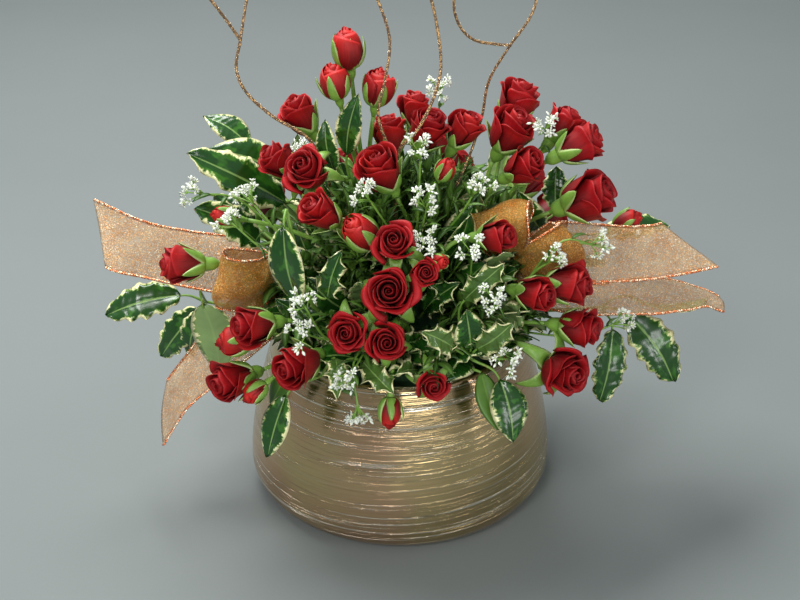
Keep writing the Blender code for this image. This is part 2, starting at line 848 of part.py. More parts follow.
def head_group(heads):
    """The heads of a group, each joined to the nearest one before it."""
    skins = [rose_head(*head) for head in heads]
    for index, head in enumerate(heads[1:], start=1):
        nearest = min(heads[:index], key=lambda other: (Vector(other[0]) - Vector(head[0])).length)
        skins.append(petal_between(nearest, head))
    return skins


def crowded(point, middle, heads):
    """Whether a sepal's tip would reach into a head other than its own."""
    others = [head for head in heads if head[0] != middle]
    return any((point - Vector(head[0])).length < 0.5 * head[1] + SEPAL_CLEARANCE for head in others)


def rose_stem(fork, towards, is_main, heads, head):
    """One branch of a spray: stem, hip and five sepals. The main one starts in the foam."""
    middle, width, opened, facing = head
    axis = direction(facing)
    rings, _ = head_profile(width, opened)
    base = head_base(middle, width, opened, axis)
    base_radius = rings[0][0]
    cup_radius = 1.3 * base_radius + CUP_GAP
    stem_end = base - axis * (HIP_LENGTH * min(1.0, width / 24.0))
    span = (stem_end - fork).length
    route = bezier(fork, fork + towards * span * 0.35, stem_end - axis * span * 0.35, stem_end, 2)
    radii = [BRANCH_RADIUS] * len(route)
    if is_main:
        route = [from_centre(towards, STEM_START)] + route
        radii = [MAIN_RADIUS, MAIN_RADIUS] + radii[1:]
    hint = frame_along(axis)[1]
    skin = Skin()
    loops = []
    for index, (point, radius) in enumerate(zip(route, radii)):
        ahead = route[min(index + 1, len(route) - 1)] - route[max(index - 1, 0)]
        loops.append(skin.add(ring(point, ahead, [radius] * STEM_SIDES, hint=hint)))
    outer = skin.add(ring(base - axis * 1.1, axis, [cup_radius + SEPAL_THICKNESS] * STEM_SIDES))
    loops.append(outer)
    for lower, upper in zip(loops, loops[1:]):
        skin.bridge(lower, upper)
    skin.cap(list(reversed(loops[0])))
    inner = skin.add(ring(base - axis * CUP_GAP, axis, [cup_radius] * STEM_SIDES))
    if opened < REFLEXED_FROM:
        reach, rise = rings[1][0] + SEPAL_THICKNESS, rings[1][1]
    else:
        reach, rise = 0.4 * width, -0.08 * width
    step = 2.0 * math.pi / STEM_SIDES
    spots = ring(base + axis * rise, axis, [reach] * STEM_SIDES, phase=step / 2.0)
    short = ring(base, axis, [cup_radius + SEPAL_THICKNESS] * STEM_SIDES, phase=step / 2.0)
    spots = [near if crowded(spot, middle, heads) else spot for spot, near in zip(spots, short)]
    tips = skin.add(spots)
    for index in range(STEM_SIDES):
        after = (index + 1) % STEM_SIDES
        tip = tips[index]
        skin.faces.append((outer[index], outer[after], tip))
        skin.faces.append((inner[after], inner[index], tip))
        skin.faces.append((inner[index], outer[index], tip))
        skin.faces.append((outer[after], inner[after], tip))
    skin.cap(inner)
    return skin


def make_rose_sprays(materials, collection):
    exits = []
    for spray, groups in ROSES.items():
        heads = [head for group in groups.values() for head in group]
        towards = spray_exit(heads)
        fork = from_centre(towards, FORK_REACH)
        exits.append((towards, MAIN_RADIUS))
        branches = []
        for index, head in enumerate(heads):
            start = fork - towards * (FORK_STEP * index)
            branches.append(rose_stem(start, towards, index == 0, heads, head))
        join(spray, branches, materials["rose_stems"], collection)
        for group, group_heads in groups.items():
            join(group, head_group(group_heads), materials["petals"], collection)
    return exits


def leaf_outline(spiny):
    """Places along one edge of a leaf: part of the length, part of the half width, and lift."""
    if spiny:
        return [(0.22, 0.9, 0.1), (0.36, 0.68, -0.05), (0.58, 1.0, 0.1), (0.76, 0.5, -0.03)]
    return [(0.25, 0.8, 0.05), (0.5, 1.0, 0.05), (0.8, 0.62, 0.05)]


def holly_leaf(root, base, tip, width, spiny, facing):
    """A thin arched blade on a flat stalk, in triangles alike on both faces."""
    along = tip - base
    length = along.length
    along.normalize()
    side = along.cross(direction(facing)).normalized()
    normal = side.cross(along)
    stalk = (base - root).normalized()
    stalk_side = (side - stalk * side.dot(stalk)).normalized()
    stalk_normal = stalk_side.cross(stalk)
    rib_places = (0.35, 0.7, 1.0)
    edge = leaf_outline(spiny)

    def place(part, across, lift):
        arch = 0.1 * length * math.sin(math.pi * part)
        return base + along * (length * part) + side * (across * width / 2) + normal * (arch + lift * width)

    half_root = stalk_side * (STALK_WIDTH / 2.0)
    half_base = side * (STALK_WIDTH / 2.0)
    rib = [base] + [place(part, 0.0, 0.0) for part in rib_places]
    left = [root + half_root, base + half_base] + [place(*spot) for spot in edge]
    right = [root - half_root, base - half_base] + [place(part, -across, lift) for part, across, lift in edge]
    points = rib + left + right
    lifts = [normal] * len(points)
    left_root = len(rib)
    right_root = left_root + len(left)
    lifts[left_root] = stalk_normal
    lifts[right_root] = stalk_normal
    half = LEAF_THICKNESS / 2.0
    skin = Skin()
    top = skin.add([point + lift * half for point, lift in zip(points, lifts)])
    bottom = skin.add([point - lift * half for point, lift in zip(points, lifts)])
    ribs = list(range(len(rib)))
    lefts = [left_root + index for index in range(len(left))] + [ribs[-1]]
    rights = [right_root + index for index in range(len(right))] + [ribs[-1]]
    sheet = strip(ribs, lefts, points) + [tuple(reversed(face)) for face in strip(ribs, rights, points)]
    sheet.append((ribs[0], left_root, right_root))
    for face in sheet:
        skin.faces.append(tuple(top[index] for index in reversed(face)))
        skin.faces.append(tuple(bottom[index] for index in face))
    rim = lefts + list(reversed(rights))[1:]
    for index, first in enumerate(rim):
        second = rim[(index + 1) % len(rim)]
        skin.faces.append((top[second], top[first], bottom[first]))
        skin.faces.append((top[second], bottom[first], bottom[second]))
    return skin


def strip(inner, outer, points):
    """Triangles between a leaf's rib and one edge, which share their last point."""
    faces = []
    low, high = 0, 0
    while low < len(inner) - 1 or high < len(outer) - 1:
        can_low = low < len(inner) - 1
        can_high = high < len(outer) - 1
        gap_low = (points[inner[low + 1]] - points[outer[high]]).length if can_low else math.inf
        gap_high = (points[outer[high + 1]] - points[inner[low]]).length if can_high else math.inf
        if gap_low < gap_high:
            face = (inner[low], inner[low + 1], outer[high])
            low += 1
        else:
            face = (inner[low], outer[high + 1], outer[high])
            high += 1
        if len(set(face)) == 3:
            faces.append(face)
    return faces


def make_holly(materials, collection):
    exits = []
    for name, (route, leaves) in HOLLY.items():
        towards = lifted(Vector(route[0]) - Vector(STEM_CENTRE))
        exits.append((towards, TWIG_RADIUS))
        start = from_centre(towards, STEM_START)
        outside = from_centre(towards, FORK_REACH)
        line = [start, outside] + [Vector(point) for point in route[1:]]
        skins = [tube(line, [TWIG_RADIUS] * len(line), TWIG_SIDES)]
        for base, tip, width, spiny, facing in leaves:
            base, tip = Vector(base), Vector(tip)
            root = leaf_root(base, line[1:])
            skins.append(holly_leaf(root, base, tip, width, spiny, facing))
        join(name, skins, materials["holly"], collection)
    return exits


def leaf_root(base, line):
    """The place on a twig's middle line where a leaf's stalk starts."""
    spots = []
    for start, end in zip(line, line[1:]):
        spots += [start.lerp(end, part) for part in (0.0, 0.5, 0.9)]
    return min(spots, key=lambda point: (point - base).length)


def floret_cluster(centre, axis, size, phase):
    """An eight-sided core with a pointed floret on each face."""
    skin = Skin()
    around = ring(centre, axis, [size] * 4, phase=phase)
    poles = [centre + axis * size, centre - axis * size]
    loop = skin.add(around)
    top, bottom = skin.add(poles)
    for index in range(4):
        after = (index + 1) % 4
        for face in ((loop[index], loop[after], top), (loop[after], loop[index], bottom)):
            corners = [skin.points[corner] for corner in face]
            middle = sum(corners, Vector()) / 3.0
            peak = skin.add([centre + (middle - centre).normalized() * size * FLORET_REACH])[0]
            skin.fan(face, peak)
    return skin


def make_filler(materials, collection):
    rng = random.Random(7)
    exits = []
    for name, (facing, clusters) in FILLER.items():
        towards = direction(facing)
        exits.append((towards, FILLER_MAIN_RADIUS))
        skins = []
        for index, (middle, bend) in enumerate(clusters):
            route = [from_centre(towards, FORK_REACH - FORK_STEP * index), Vector(bend), Vector(middle)]
            radii = [FILLER_RADIUS] * 3
            if index == 0:
                route.insert(0, from_centre(towards, STEM_START))
                radii = [FILLER_MAIN_RADIUS, FILLER_MAIN_RADIUS, FILLER_RADIUS, FILLER_RADIUS]
            skins.append(tube(route, radii, FILLER_SIDES))
            outward = (route[-1] - route[-2]).normalized()
            size = CLUSTER_RADIUS * rng.uniform(0.85, 1.1)
            skins.append(floret_cluster(route[-1], outward, size, rng.uniform(0.0, math.pi)))
        join(name, skins, materials["filler"], collection)
    return exits


def ribbon_length(knot, line, slant):
    """A flat length of ribbon that starts gathered in the knot and widens."""
    middles = [Vector(middle) for middle, _ in line]
    acrosses = [Vector(across) for _, across in line]
    skin = Skin()
    loops = []
    for index, (middle, across) in enumerate(zip(middles, acrosses)):
        ahead = middles[min(index + 1, len(middles) - 1)] - middles[max(index - 1, 0)]
        ahead.normalize()
        across = (across - ahead * across.dot(ahead)).normalized()
        normal = across.cross(ahead)
        spread = min(1.0, (middle - knot).length / GATHER_LENGTH)
        half_width = (KNOT_WIDTH + (RIBBON_WIDTH - KNOT_WIDTH) * spread) / 2.0
        half_thick = RIBBON_THICKNESS / 2.0
        corners = ((1, 1), (1, -1), (-1, -1), (-1, 1))
        further = ahead * (slant if index == len(middles) - 1 else 0.0)
        loops.append(skin.add([
            middle + (across * half_width + further) * sign + normal * (half_thick * other)
            for sign, other in corners
        ]))
    for lower, upper in zip(loops, loops[1:]):
        skin.bridge_sheet(lower, upper)
    skin.cap(list(reversed(loops[0])))
    skin.cap(loops[-1])
    return skin


def make_ribbons(materials, collection):
    exits = []
    for name, (knot, lengths) in RIBBONS.items():
        towards = lifted(Vector(knot) - Vector(STEM_CENTRE))
        exits.append((towards, TWIG_RADIUS))
        outside = from_centre(towards, FORK_REACH)
        knot = Vector(knot)
        pick = tube([from_centre(towards, STEM_START), outside, knot], [TWIG_RADIUS] * 3, TWIG_SIDES)
        band = Vector((0.0, 0.0, KNOT_RADIUS * 0.8))
        radii = [KNOT_RADIUS * 0.7, KNOT_RADIUS, KNOT_RADIUS * 0.7]
        skins = [pick, tube([knot - band, knot, knot + band], radii, 6)]
        skins += [ribbon_length(knot, line, slant) for line, slant in zip(lengths, END_SLANTS[name])]
        join(name, skins, materials["ribbon"], collection)
    return exits


def make_curly_twigs(materials, collection):
    exits = []
    for name, routes in CURLY_TWIGS.items():
        towards = (Vector(routes[0][0]) - Vector(STEM_CENTRE)).normalized()
        exits.append((towards, CURL_RADIUS))
        skins = []
        for index, route in enumerate(routes):
            if index == 0:
                line = smooth_route([from_centre(towards, FORK_REACH)] + route[1:], 2)
                line = [from_centre(towards, STEM_START)] + line
            else:
                line = smooth_route(route, 2)
            last = len(line) - 1
            radii = [CURL_RADIUS + (CURL_TIP_RADIUS - CURL_RADIUS) * step / last for step in range(last + 1)]
            skins.append(tube(line, radii, CURL_SIDES))
        join(name, skins, materials["curly_twigs"], collection)
    return exits


def main():
    clear_scene()
    materials = make_materials()
    collection = make_collection("vase_of_roses")
    make_bowl(materials["bowl"], collection)
    exits = make_rose_sprays(materials, collection)
    exits += make_holly(materials, collection)
    exits += make_filler(materials, collection)
    exits += make_ribbons(materials, collection)
    exits += make_curly_twigs(materials, collection)
    make_foam(exits, materials["foam"], collection)


main()
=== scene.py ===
"""Looks of the vase of roses: layered petals, stems with sepals, variegated holly, white florets,
sheer wired ribbon, glittered twigs and the brushed bowl, round the solids of the loaded frame.

The layout is the solids' own, in millimetres, and the pieces are built in metres. +Z is up and the
front faces -Y.
"""

import functools
import math
import random

import bpy
import numpy as np
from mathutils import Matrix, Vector


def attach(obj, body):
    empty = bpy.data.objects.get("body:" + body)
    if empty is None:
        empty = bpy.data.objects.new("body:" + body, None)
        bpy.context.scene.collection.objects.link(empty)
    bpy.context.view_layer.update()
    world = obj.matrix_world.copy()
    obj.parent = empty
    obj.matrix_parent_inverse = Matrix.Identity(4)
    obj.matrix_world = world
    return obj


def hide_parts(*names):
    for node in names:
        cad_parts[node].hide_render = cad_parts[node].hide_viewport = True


MM = 0.001
FULL_TURN = 2.0 * math.pi
GOLDEN_TURN = math.radians(137.5)
UP = np.array((0.0, 0.0, 1.0))
SIDEWAYS = np.array((1.0, 0.0, 0.0))
NEARLY_PARALLEL = 0.05
NEARLY_UPRIGHT = 0.9

# Camera
CAMERA_PLACE = (0.0, -0.8366, 0.613)
CAMERA_TILT = 60.0
CAMERA_LENS = 67.5
SENSOR_WIDTH = 36.0

# Light and floor. A light is its name, place, target, size, power and colour.
FLOOR_HALF = 12.0
SKY = (0.80, 0.88, 0.90)
SKY_STRENGTH = 0.36
LIGHTS = (
    ("overhead", (-0.40, 0.50, 1.35), (0.0, 0.0, 0.12), (1.2, 0.6), 32.0, (1.0, 1.0, 0.98)),
    ("front", (-0.5, -1.5, 1.3), (0.0, 0.0, 0.15), (0.5, 0.5), 15.0, (1.0, 0.98, 0.95)),
    ("window", (0.5, -2.2, 0.60), (0.0, 0.0, 0.1), (1.6, 0.35), 15.0, (1.0, 1.0, 1.0)),
    ("side", (1.7, -0.9, 0.6), (0.0, 0.0, 0.1), (0.2, 0.8), 6.0, (1.0, 1.0, 1.0)),
)

# Bowl
BELLY_RADIUS = 100.0
BELLY_HEIGHT = 19.0
FOOT_RADIUS = 80.0
RIM_RADIUS = 79.5
BOWL_HEIGHT = 114.0
SHOULDER_POWER = 1.6
WALL = 4.0
FLOOR = 6.0
BOWL_SIDES = 192
FOOT_ROWS = 12
SIDE_ROWS = 70
RIM_ROWS = 6
INNER_HEIGHTS = (100.0, 80.0, 60.0, 40.0, BELLY_HEIGHT + WALL)
RIDGE_HEIGHT = 0.03
RIDGES_FROM = 5
SCRATCH_SLANT = 0.03
POLE_RADIUS = 0.02
BOWL_SEED = 5

# Foam
STEM_CENTRE = (0.0, 0.0, 100.0)
FOAM_DOME_RADIUS = 68.0
FOAM_DOME_HEIGHT = 50.0
FOAM_BODY_RADIUS = 75.0
FOAM_LIFT = 0.3
FOAM_BEVEL = (4.0, 12.0)
FOAM_HEIGHTS = (50.0, 80.0)
FOAM_DOME_ANGLES = range(8, 90, 3)
CRUMBS_FROM = 90.0
FOAM_SIDES = 72
CRUMB = 0.7
FOAM_SEED = 11

# Stems
STEM_START = 34.0
FORK_REACH = 74.0
MAIN_REACHES = (STEM_START, 50.0, 60.0, FORK_REACH)
FORK_STEP = 1.5
LOWEST_EXIT = 17.0
MAIN_RADIUS = 1.9
BRANCH_RADIUS = 1.3
BRANCH_SWELL = 1.15
BRANCH_PULL = 0.35
BRANCH_POINTS = 13
TWIG_STEPS = 5

# Rose heads. A profile is pairs of radius and height, as parts of the whole.
CLOSED_BELOW = 0.4
WIDE_OPEN = 0.8
BUD_HEIGHT = 1.4
SMALL_BUD = 15
SMALL_HEAD = 23
PETAL_THICKNESS = 0.45
PETAL_GRID = (12, 15)
HEART_GRID = (9, 15)
HEART_DEPTH = 0.3
HEART_PROFILE = ((0.0, 0.0), (0.8, 0.5), (0.5, 0.97), (0.0, 1.0))
HIP_LENGTH = 9.0
HIP_FULL_SIZE = 24.0
HIP_NECK = 0.16
HIP_PROFILE = ((0.66, -0.84), (0.9, -0.62), (0.98, -0.40), (1.0, -0.2), (1.06, 0.0))
SEPALS = 5
SEPAL_THICKNESS = 0.5
SEPAL_GRID = (11, 7)
SEPAL_FLARES = (0.0, 0.02, 0.05, 0.14)
PRICKLE_PROFILE = ((0.55, 0.0), (0.3, 0.7), (0.0, 1.5))

# Leaf kinds: rows and columns of the blade, spines on a side, their depth and the edge's wave
LEAF_KINDS = {
    "plain": (17, 9, 0.0, 0.0, 0.02),
    "toothed": (31, 9, 5.0, 0.16, 0.04),
    "spined": (31, 9, 3.0, 0.38, 0.15),
}
LEAF_THICKNESS = 0.6
TWIG_RADIUS = 1.5

# Filler. A floret's middle is pairs of radius and height.
FILLER_RADIUS = 0.7
FILLER_MAIN_RADIUS = 1.4
FLORET_WIDTH = 4.8
FLORET_PETALS = 5
FLORET_PROFILE = ((0.3, 0.0), (0.55, 0.8), (0.3, 1.5), (0.0, 1.7))
FLORET_GRID = (4, 3)
FILLER_STEPS = 6
NARROW_GRID = (6, 3)
SMALL_THICKNESS = 0.35
CLUSTER_LENGTH = 15.0
TUFTS = 5
TUFT_FLORETS = 6

# Greenery: each part's first and last direction, in degrees round from the front
GREENERY = {
    "greenery_front": (-60.0, 60.0),
    "greenery_left": (-130.0, -50.0),
    "greenery_right": (50.0, 130.0),
    "greenery_back": (120.0, 240.0),
}
GREENERY_STEMS = 26
SPRIG_START = 40.0
SPRIG_REACH = 78.0
SPRIG_RISE = 36.0
SPRIG_LOWEST = 20.0
SPRIG_STEPS = 7
# The stems' heights in degrees, which step up by the first number and start again at the second
SPRIG_SPREAD = (37, 69)
# Rings of broad leaves in each part: how many, how high they start and how far up they face
COLLAR_RINGS = ((13, 15.0, 60.0), (12, 26.0, 42.0), (10, 42.0, 55.0), (5, 62.0, 75.0))
COLLAR_START = 50.0
COLLAR_FLAT = 20.0
COLLAR_RISE = 0.35
COLLAR_KINDS = ("spined", "toothed", "plain")
# Plain leaves that hang over the rim: base, tip, width and facing
HANGING_LEAVES = {
    "greenery_front": (
        ((49, -72, 121), (59, -94, 93), 15, (10, 30)),
        ((-64, -62, 121), (-80, -68, 92), 14, (-30, 30)),
    ),
}

# Ribbon
RIBBON_WIDTH = 38.0
RIBBON_THICKNESS = 0.25
RIBBON_STEPS = 7
RIBBON_COLUMNS = 15
KNOT_WIDTH = 9.0
TIE_RADIUS = 3.575
TIE_THICKNESS = 0.6
TIE_GAP = 1.1
TIE_POINTS = 15
TIES = 4
GATHER_LENGTH = 34.0
GATHER_DEPTH = 2.2
RIPPLE = 0.9
CREASE = 2.0
LOOP_ROUND = 3.0
LOOP_PUFF = 2.5
WIRE_RADIUS = 0.5
WIRE_STEP = 0.7
TWIST_LENGTH = 2.6
THREADS = 48.0
LOOK_LENGTH = 100.0

# Curly twigs
CURL_RADIUS = 1.1
CURL_TIP_RADIUS = 0.7
SHOOT_THINNING = 0.85
CURL_STEPS = 8
GRAINS_PER_STEP = 4

# Colours
# Petal colours carry painted light and shade: the darkest is painted shade at the petals' feet, and the heart
# red is darker as painted shade deep in the flower
PETAL_PAINTED_SHADE = (0.05, 0.0006, 0.0018)
PETAL_SHADED_HEART = (0.27, 0.002, 0.005)
PETAL_OUTER = (0.46, 0.005, 0.009)
PETAL_BUD = (0.62, 0.016, 0.010)
PETAL_SHEEN = (1.0, 0.25, 0.2)
STEM_DARK = (0.10, 0.24, 0.03)
STEM_LIGHT = (0.26, 0.45, 0.07)
STEM_FLUSH = (0.22, 0.14, 0.04)
SEPAL_EDGE = (0.55, 0.68, 0.28)
HOLLY_DARK = (0.010, 0.058, 0.006)
HOLLY_MIDDLE = (0.034, 0.135, 0.012)
HOLLY_GREY = (0.120, 0.210, 0.045)
HOLLY_RIB = (0.26, 0.42, 0.12)
HOLLY_UNDER = (0.25, 0.38, 0.13)
HOLLY_BETWEEN = (0.20, 0.32, 0.07)
HOLLY_CREAM = (0.80, 0.76, 0.33)
HOLLY_PALE = (0.86, 0.84, 0.55)
SPRIG_DARK = (0.028, 0.085, 0.012)
SPRIG_LIGHT = (0.15, 0.30, 0.045)
FLORET_WHITE = (0.90, 0.92, 0.86)
FLORET_SHADE = (0.70, 0.76, 0.62)
FLORET_THROAT = (0.45, 0.60, 0.22)
FLORET_MIDDLE = (0.62, 0.68, 0.34)
RIBBON_DEEP = (0.80, 0.40, 0.14)
RIBBON_COPPER = (0.95, 0.60, 0.29)
RIBBON_SPARK = (1.0, 0.86, 0.64)
RIBBON_AMBER = (0.80, 0.30, 0.04)
RIBBON_GOLD = (0.95, 0.50, 0.10)
RIBBON_AMBER_SPARK = (1.0, 0.66, 0.26)
WIRE_COPPER = (0.75, 0.22, 0.07)
TWIG_DARK = (0.05, 0.025, 0.012)
TWIG_LIGHT = (0.20, 0.11, 0.05)
GLITTER_GOLD = (0.75, 0.48, 0.22)
GLITTER_PALE = (1.0, 0.90, 0.72)
BOWL_BRONZE = (0.56, 0.36, 0.215)
BOWL_GOLD = (0.55, 0.42, 0.21)
BOWL_SCRATCH = (0.16, 0.10, 0.05)
# Nearly white, painted on the deeper scratches as painted glints
BOWL_PAINTED_GLINT = (1.0, 0.93, 0.80)
FOAM_DARK = (0.008, 0.03, 0.012)
FOAM_LIGHT = (0.03, 0.09, 0.03)
FLOOR_DARK = (0.150, 0.172, 0.172)
FLOOR_LIGHT = (0.215, 0.238, 0.236)

# Four painted values where a material reads none of them
UNPAINTED = (0.5, 0.5, 0.5, 0.5)

# Rose heads by stem spray and by group of touching heads. A head is its middle (x, y, z), its width,
# how far it has opened from 0 to 1, and where it faces: degrees round from the front towards +X and
# degrees above level.
ROSES = {
    "top_left": {
        "roses_tallest_buds": [((-31, 6, 299), 19, 0.1, (-90, 84)), ((-39, -6, 283), 17, 0.1, (-60, 76))],
        "rose_bud_top": [((-13, 0, 277), 18, 0.2, (60, 80))],
        "rose_upper_left": [((-61, 18, 251), 25, 0.5, (-80, 60))],
    },
    "left_shoulder": {
        "roses_left_shoulder": [
            ((-56, -27, 235), 33, 1.0, (-25, 45)), ((-74, -6, 231), 24, 0.6, (-80, 40)),
        ],
        "roses_left_front_buds": [
            ((-46, -56, 221), 25, 0.5, (-60, 42)), ((-24, -63, 212), 20, 0.1, (-50, 48)),
        ],
        "rose_bud_left": [((-105, -37, 209), 13, 0.0, (-74, 18))],
    },
    "top": {
        "roses_top": [
            ((9, 22, 253), 22, 0.5, (170, 78)), ((-6, 9, 242), 24, 0.5, (-130, 76)),
            ((16, 4, 247), 28, 0.6, (60, 68)), ((39, 9, 245), 24, 0.5, (80, 62)),
        ],
        "rose_top_front": [((-11, -36, 239), 29, 0.5, (-50, 62))],
        "rose_bud_centre": [((27, -30, 237), 12, 0.0, (60, 60))],
    },
    "right": {
        "roses_right_shoulder": [
            ((68, 8, 245), 31, 0.6, (70, 64)), ((73, 33, 254), 29, 0.6, (110, 72)),
            ((75, -9, 229), 26, 0.6, (60, 42)),
        ],
        "roses_right_top": [((102, 30, 239), 25, 0.6, (105, 52)), ((110, 8, 236), 28, 0.5, (88, 32))],
        "rose_right_large": [((115, -12, 210), 36, 0.7, (78, 30))],
        "rose_bud_right": [((147, 25, 174), 15, 0.1, (94, 33))],
    },
    "front": {
        "rose_front_right": [((56, -60, 208), 22, 0.5, (62, 18))],
        "roses_front": [
            ((-3, -73, 210), 27, 0.9, (-8, 46)), ((-6, -89, 187), 34, 1.0, (-3, 30)),
            ((14, -83, 196), 18, 0.9, (12, 30)), ((23, -76, 199), 10, 0.0, (38, 24)),
        ],
        "roses_front_low": [((-30, -93, 162), 28, 1.0, (-12, 25)), ((-8, -96, 157), 26, 0.9, (6, 28))],
        "rose_front_rim": [((19, -99, 130), 21, 0.9, (9, 12))],
        "rose_bud_hanging": [((-6, -103, 112), 14, 0.0, (-3, -55))],
    },
    "left": {
        "rose_left": [((-134, -26, 170), 27, 0.5, (-74, 6))],
    },
    "left_low": {
        "roses_left_middle": [
            ((-87, -75, 156), 27, 0.6, (-56, 10)), ((-100, -68, 141), 17, 0.3, (-72, -2)),
        ],
        "roses_left_low": [((-102, -71, 114), 29, 0.6, (-48, 4)), ((-88, -81, 112), 13, 0.1, (-52, -22))],
        "rose_left_rim": [((-61, -92, 139), 30, 0.6, (-40, 6))],
    },
    "right_low": {
        "roses_right_low": [
            ((80, -69, 174), 24, 0.6, (55, 8)), ((101, -55, 172), 29, 0.6, (68, 12)),
            ((109, -61, 146), 28, 0.7, (66, 6)), ((99, -79, 126), 36, 1.0, (38, 8)),
        ],
    },
    "back_left": {
        "roses_back_left": [
            ((-107, 63, 157), 30, 0.7, (-122, 18)), ((-93, 73, 177), 27, 0.6, (-132, 34)),
            ((-88, 85, 158), 28, 0.8, (-140, 20)),
        ],
        "roses_back_middle": [
            ((-24, 101, 162), 31, 0.8, (-168, 24)), ((-38, 92, 182), 28, 0.7, (-156, 38)),
        ],
    },
    "back_right": {
        "roses_back_right": [((101, 70, 156), 31, 0.8, (124, 18)), ((86, 82, 175), 27, 0.6, (132, 34))],
        "roses_back_top": [((37, 92, 182), 29, 0.8, (160, 34)), ((27, 77, 202), 26, 0.6, (164, 52))],
    },
}

# Holly twigs: each twig's route, then its leaves. A leaf is its base, its tip, its width, its kind,
# and where its glossy side faces, in degrees as above.
HOLLY = {
    "upper_left": [
        [(-22, 3, 142), (-44, 8, 178), (-64, 13, 202)],
        ((-95, 34, 222), (-125, 45, 238), 24, "plain", (60, 20)),
        ((-72, 16, 209), (-119, 7, 232), 30, "plain", (-20, 60)),
        ((-72, 2, 199), (-128, -15, 240), 31, "toothed", (-10, 55)),
    ],
    "left": [
        [(-30, -5, 129), (-56, -10, 156), (-78, -14, 180)],
        ((-87, -18, 180), (-124, -24, 208), 26, "toothed", (-30, 60)),
        ((-92, 4, 182), (-118, 18, 194), 22, "toothed", (-20, 50)),
    ],
    "left_low": [
        [(-33, 0, 109), (-84, 4, 118), (-126, 8, 124)],
        ((-142, 8, 129), (-191, 2, 117), 27, "toothed", (-20, 48)),
        ((-130, 10, 116), (-139, 6, 83), 20, "toothed", (-28, 30)),
        ((-122, -36, 148), (-113, -45, 101), 31, "plain", (165, -5)),
        ((-132, 16, 114), (-160, 18, 76), 24, "toothed", (-25, 30)),
    ],
    "top_left": [
        [(-12, 0, 131), (-24, 0, 182), (-31, -4, 218)],
        ((-32, -12, 238), (-24, -14, 278), 17, "plain", (-20, 15)),
        ((-40, -2, 222), (-45, 4, 254), 15, "plain", (-30, 40)),
    ],
    "front_left": [
        [(-19, -22, 120), (-40, -46, 142), (-54, -64, 168), (-65, -70, 230)],
        ((-66, -78, 224), (-58, -80, 172), 24, "plain", (-30, 10)),
        ((-42, -80, 178), (-33, -84, 211), 20, "spined", (-20, 25)),
    ],
    "front_low": [
        [(-20, -24, 112), (-36, -56, 122), (-48, -76, 121)],
        ((-68, -84, 113), (-80, -97, 76), 21, "plain", (-40, 20)),
        ((-38, -84, 138), (-36, -112, 128), 17, "spined", (-10, 55)),
        ((-22, -84, 136), (-4, -106, 128), 20, "spined", (0, 55)),
    ],
    "front_right": [
        [(16, -26, 114), (32, -54, 126), (42, -70, 130)],
        ((38, -72, 172), (60, -80, 200), 20, "spined", (10, 30)),
        ((42, -77, 142), (38, -86, 174), 20, "plain", (10, 20)),
        ((32, -82, 144), (12, -98, 166), 21, "spined", (0, 35)),
        ((46, -80, 143), (66, -88, 166), 22, "spined", (20, 40)),
        ((60, -78, 120), (68, -96, 86), 24, "plain", (16, 20)),
    ],
    "right": [
        [(33, 0, 110), (86, -4, 124), (128, -6, 128)],
        ((134, -26, 124), (127, -42, 80), 25, "toothed", (26, 22)),
        ((146, -4, 122), (178, -16, 78), 30, "toothed", (16, 28)),
        ((150, 16, 124), (204, 25, 116), 27, "plain", (0, -70)),
    ],
    "upper_right": [
        [(24, 9, 123), (54, 22, 156), (76, 24, 172)],
        ((90, 10, 175), (73, 4, 207), 18, "plain", (-20, 30)),
        ((100, 26, 182), (100, 36, 208), 18, "toothed", (0, 40)),
        ((134, 42, 156), (178, 44, 160), 22, "toothed", (0, 60)),
    ],
    "back_left": [
        [(-14, 28, 113), (-36, 66, 128), (-52, 88, 132)],
        ((-58, 96, 134), (-82, 126, 118), 28, "toothed", (-150, 50)),
        ((-70, 72, 128), (-118, 92, 112), 27, "toothed", (-130, 55)),
        ((-60, 72, 166), (-68, 84, 210), 20, "plain", (-150, 30)),
        ((-26, 92, 132), (-10, 124, 118), 26, "toothed", (175, 50)),
    ],
    "back_right": [
        [(14, 28, 114), (34, 66, 130), (48, 86, 134)],
        ((54, 96, 136), (60, 130, 118), 28, "toothed", (160, 50)),
        ((30, 96, 126), (22, 126, 96), 27, "toothed", (175, 40)),
        ((72, 80, 126), (106, 104, 106), 28, "toothed", (140, 40)),
        ((94, 44, 126), (140, 62, 122), 28, "plain", (125, 60)),
        ((60, 76, 160), (64, 98, 204), 22, "plain", (150, 30)),
    ],
}

# Filler sprays: where each leaves the foam, in degrees as above, then each cluster's middle and the
# place where its stalk bends.
FILLER = {
    "left": [
        (-64, 46), ((-90, -40, 223), (-68, -44, 196)), ((-122, -32, 222), (-92, -24, 210)),
        ((-98, -56, 214), (-76, -52, 190)),
    ],
    "top": [
        (24, 72), ((12, -38, 252), (11, -32, 216)), ((16, -58, 228), (13, -44, 204)),
        ((17, -68, 209), (14, -46, 194)), ((-20, -62, 236), (-8, -50, 210)),
        ((45, -44, 231), (34, -38, 208)),
    ],
    "right": [
        (64, 22), ((92, -54, 190), (78, -46, 172)), ((118, -42, 192), (92, -50, 196)),
        ((136, -44, 140), (106, -48, 132)),
    ],
    "front": [
        (-14, 34), ((-55, -100, 185), (-42, -78, 148)), ((-56, -100, 166), (-42, -78, 148)),
        ((-29, -113, 143), (-24, -94, 143)), ((-24, -112, 118), (-27, -96, 143)),
    ],
    "front_right": [
        (44, 22), ((54, -94, 184), (56, -64, 160)), ((64, -104, 150), (66, -74, 136)),
        ((42, -78, 208), (42, -60, 180)),
    ],
    "back": [
        (-176, 44), ((-66, 60, 208), (-44, 56, 184)), ((0, 84, 214), (-2, 68, 184)),
        ((72, 60, 208), (50, 58, 190)), ((24, 15, 270), (22, 42, 232)), ((88, -12, 256), (80, 30, 215)),
    ],
}

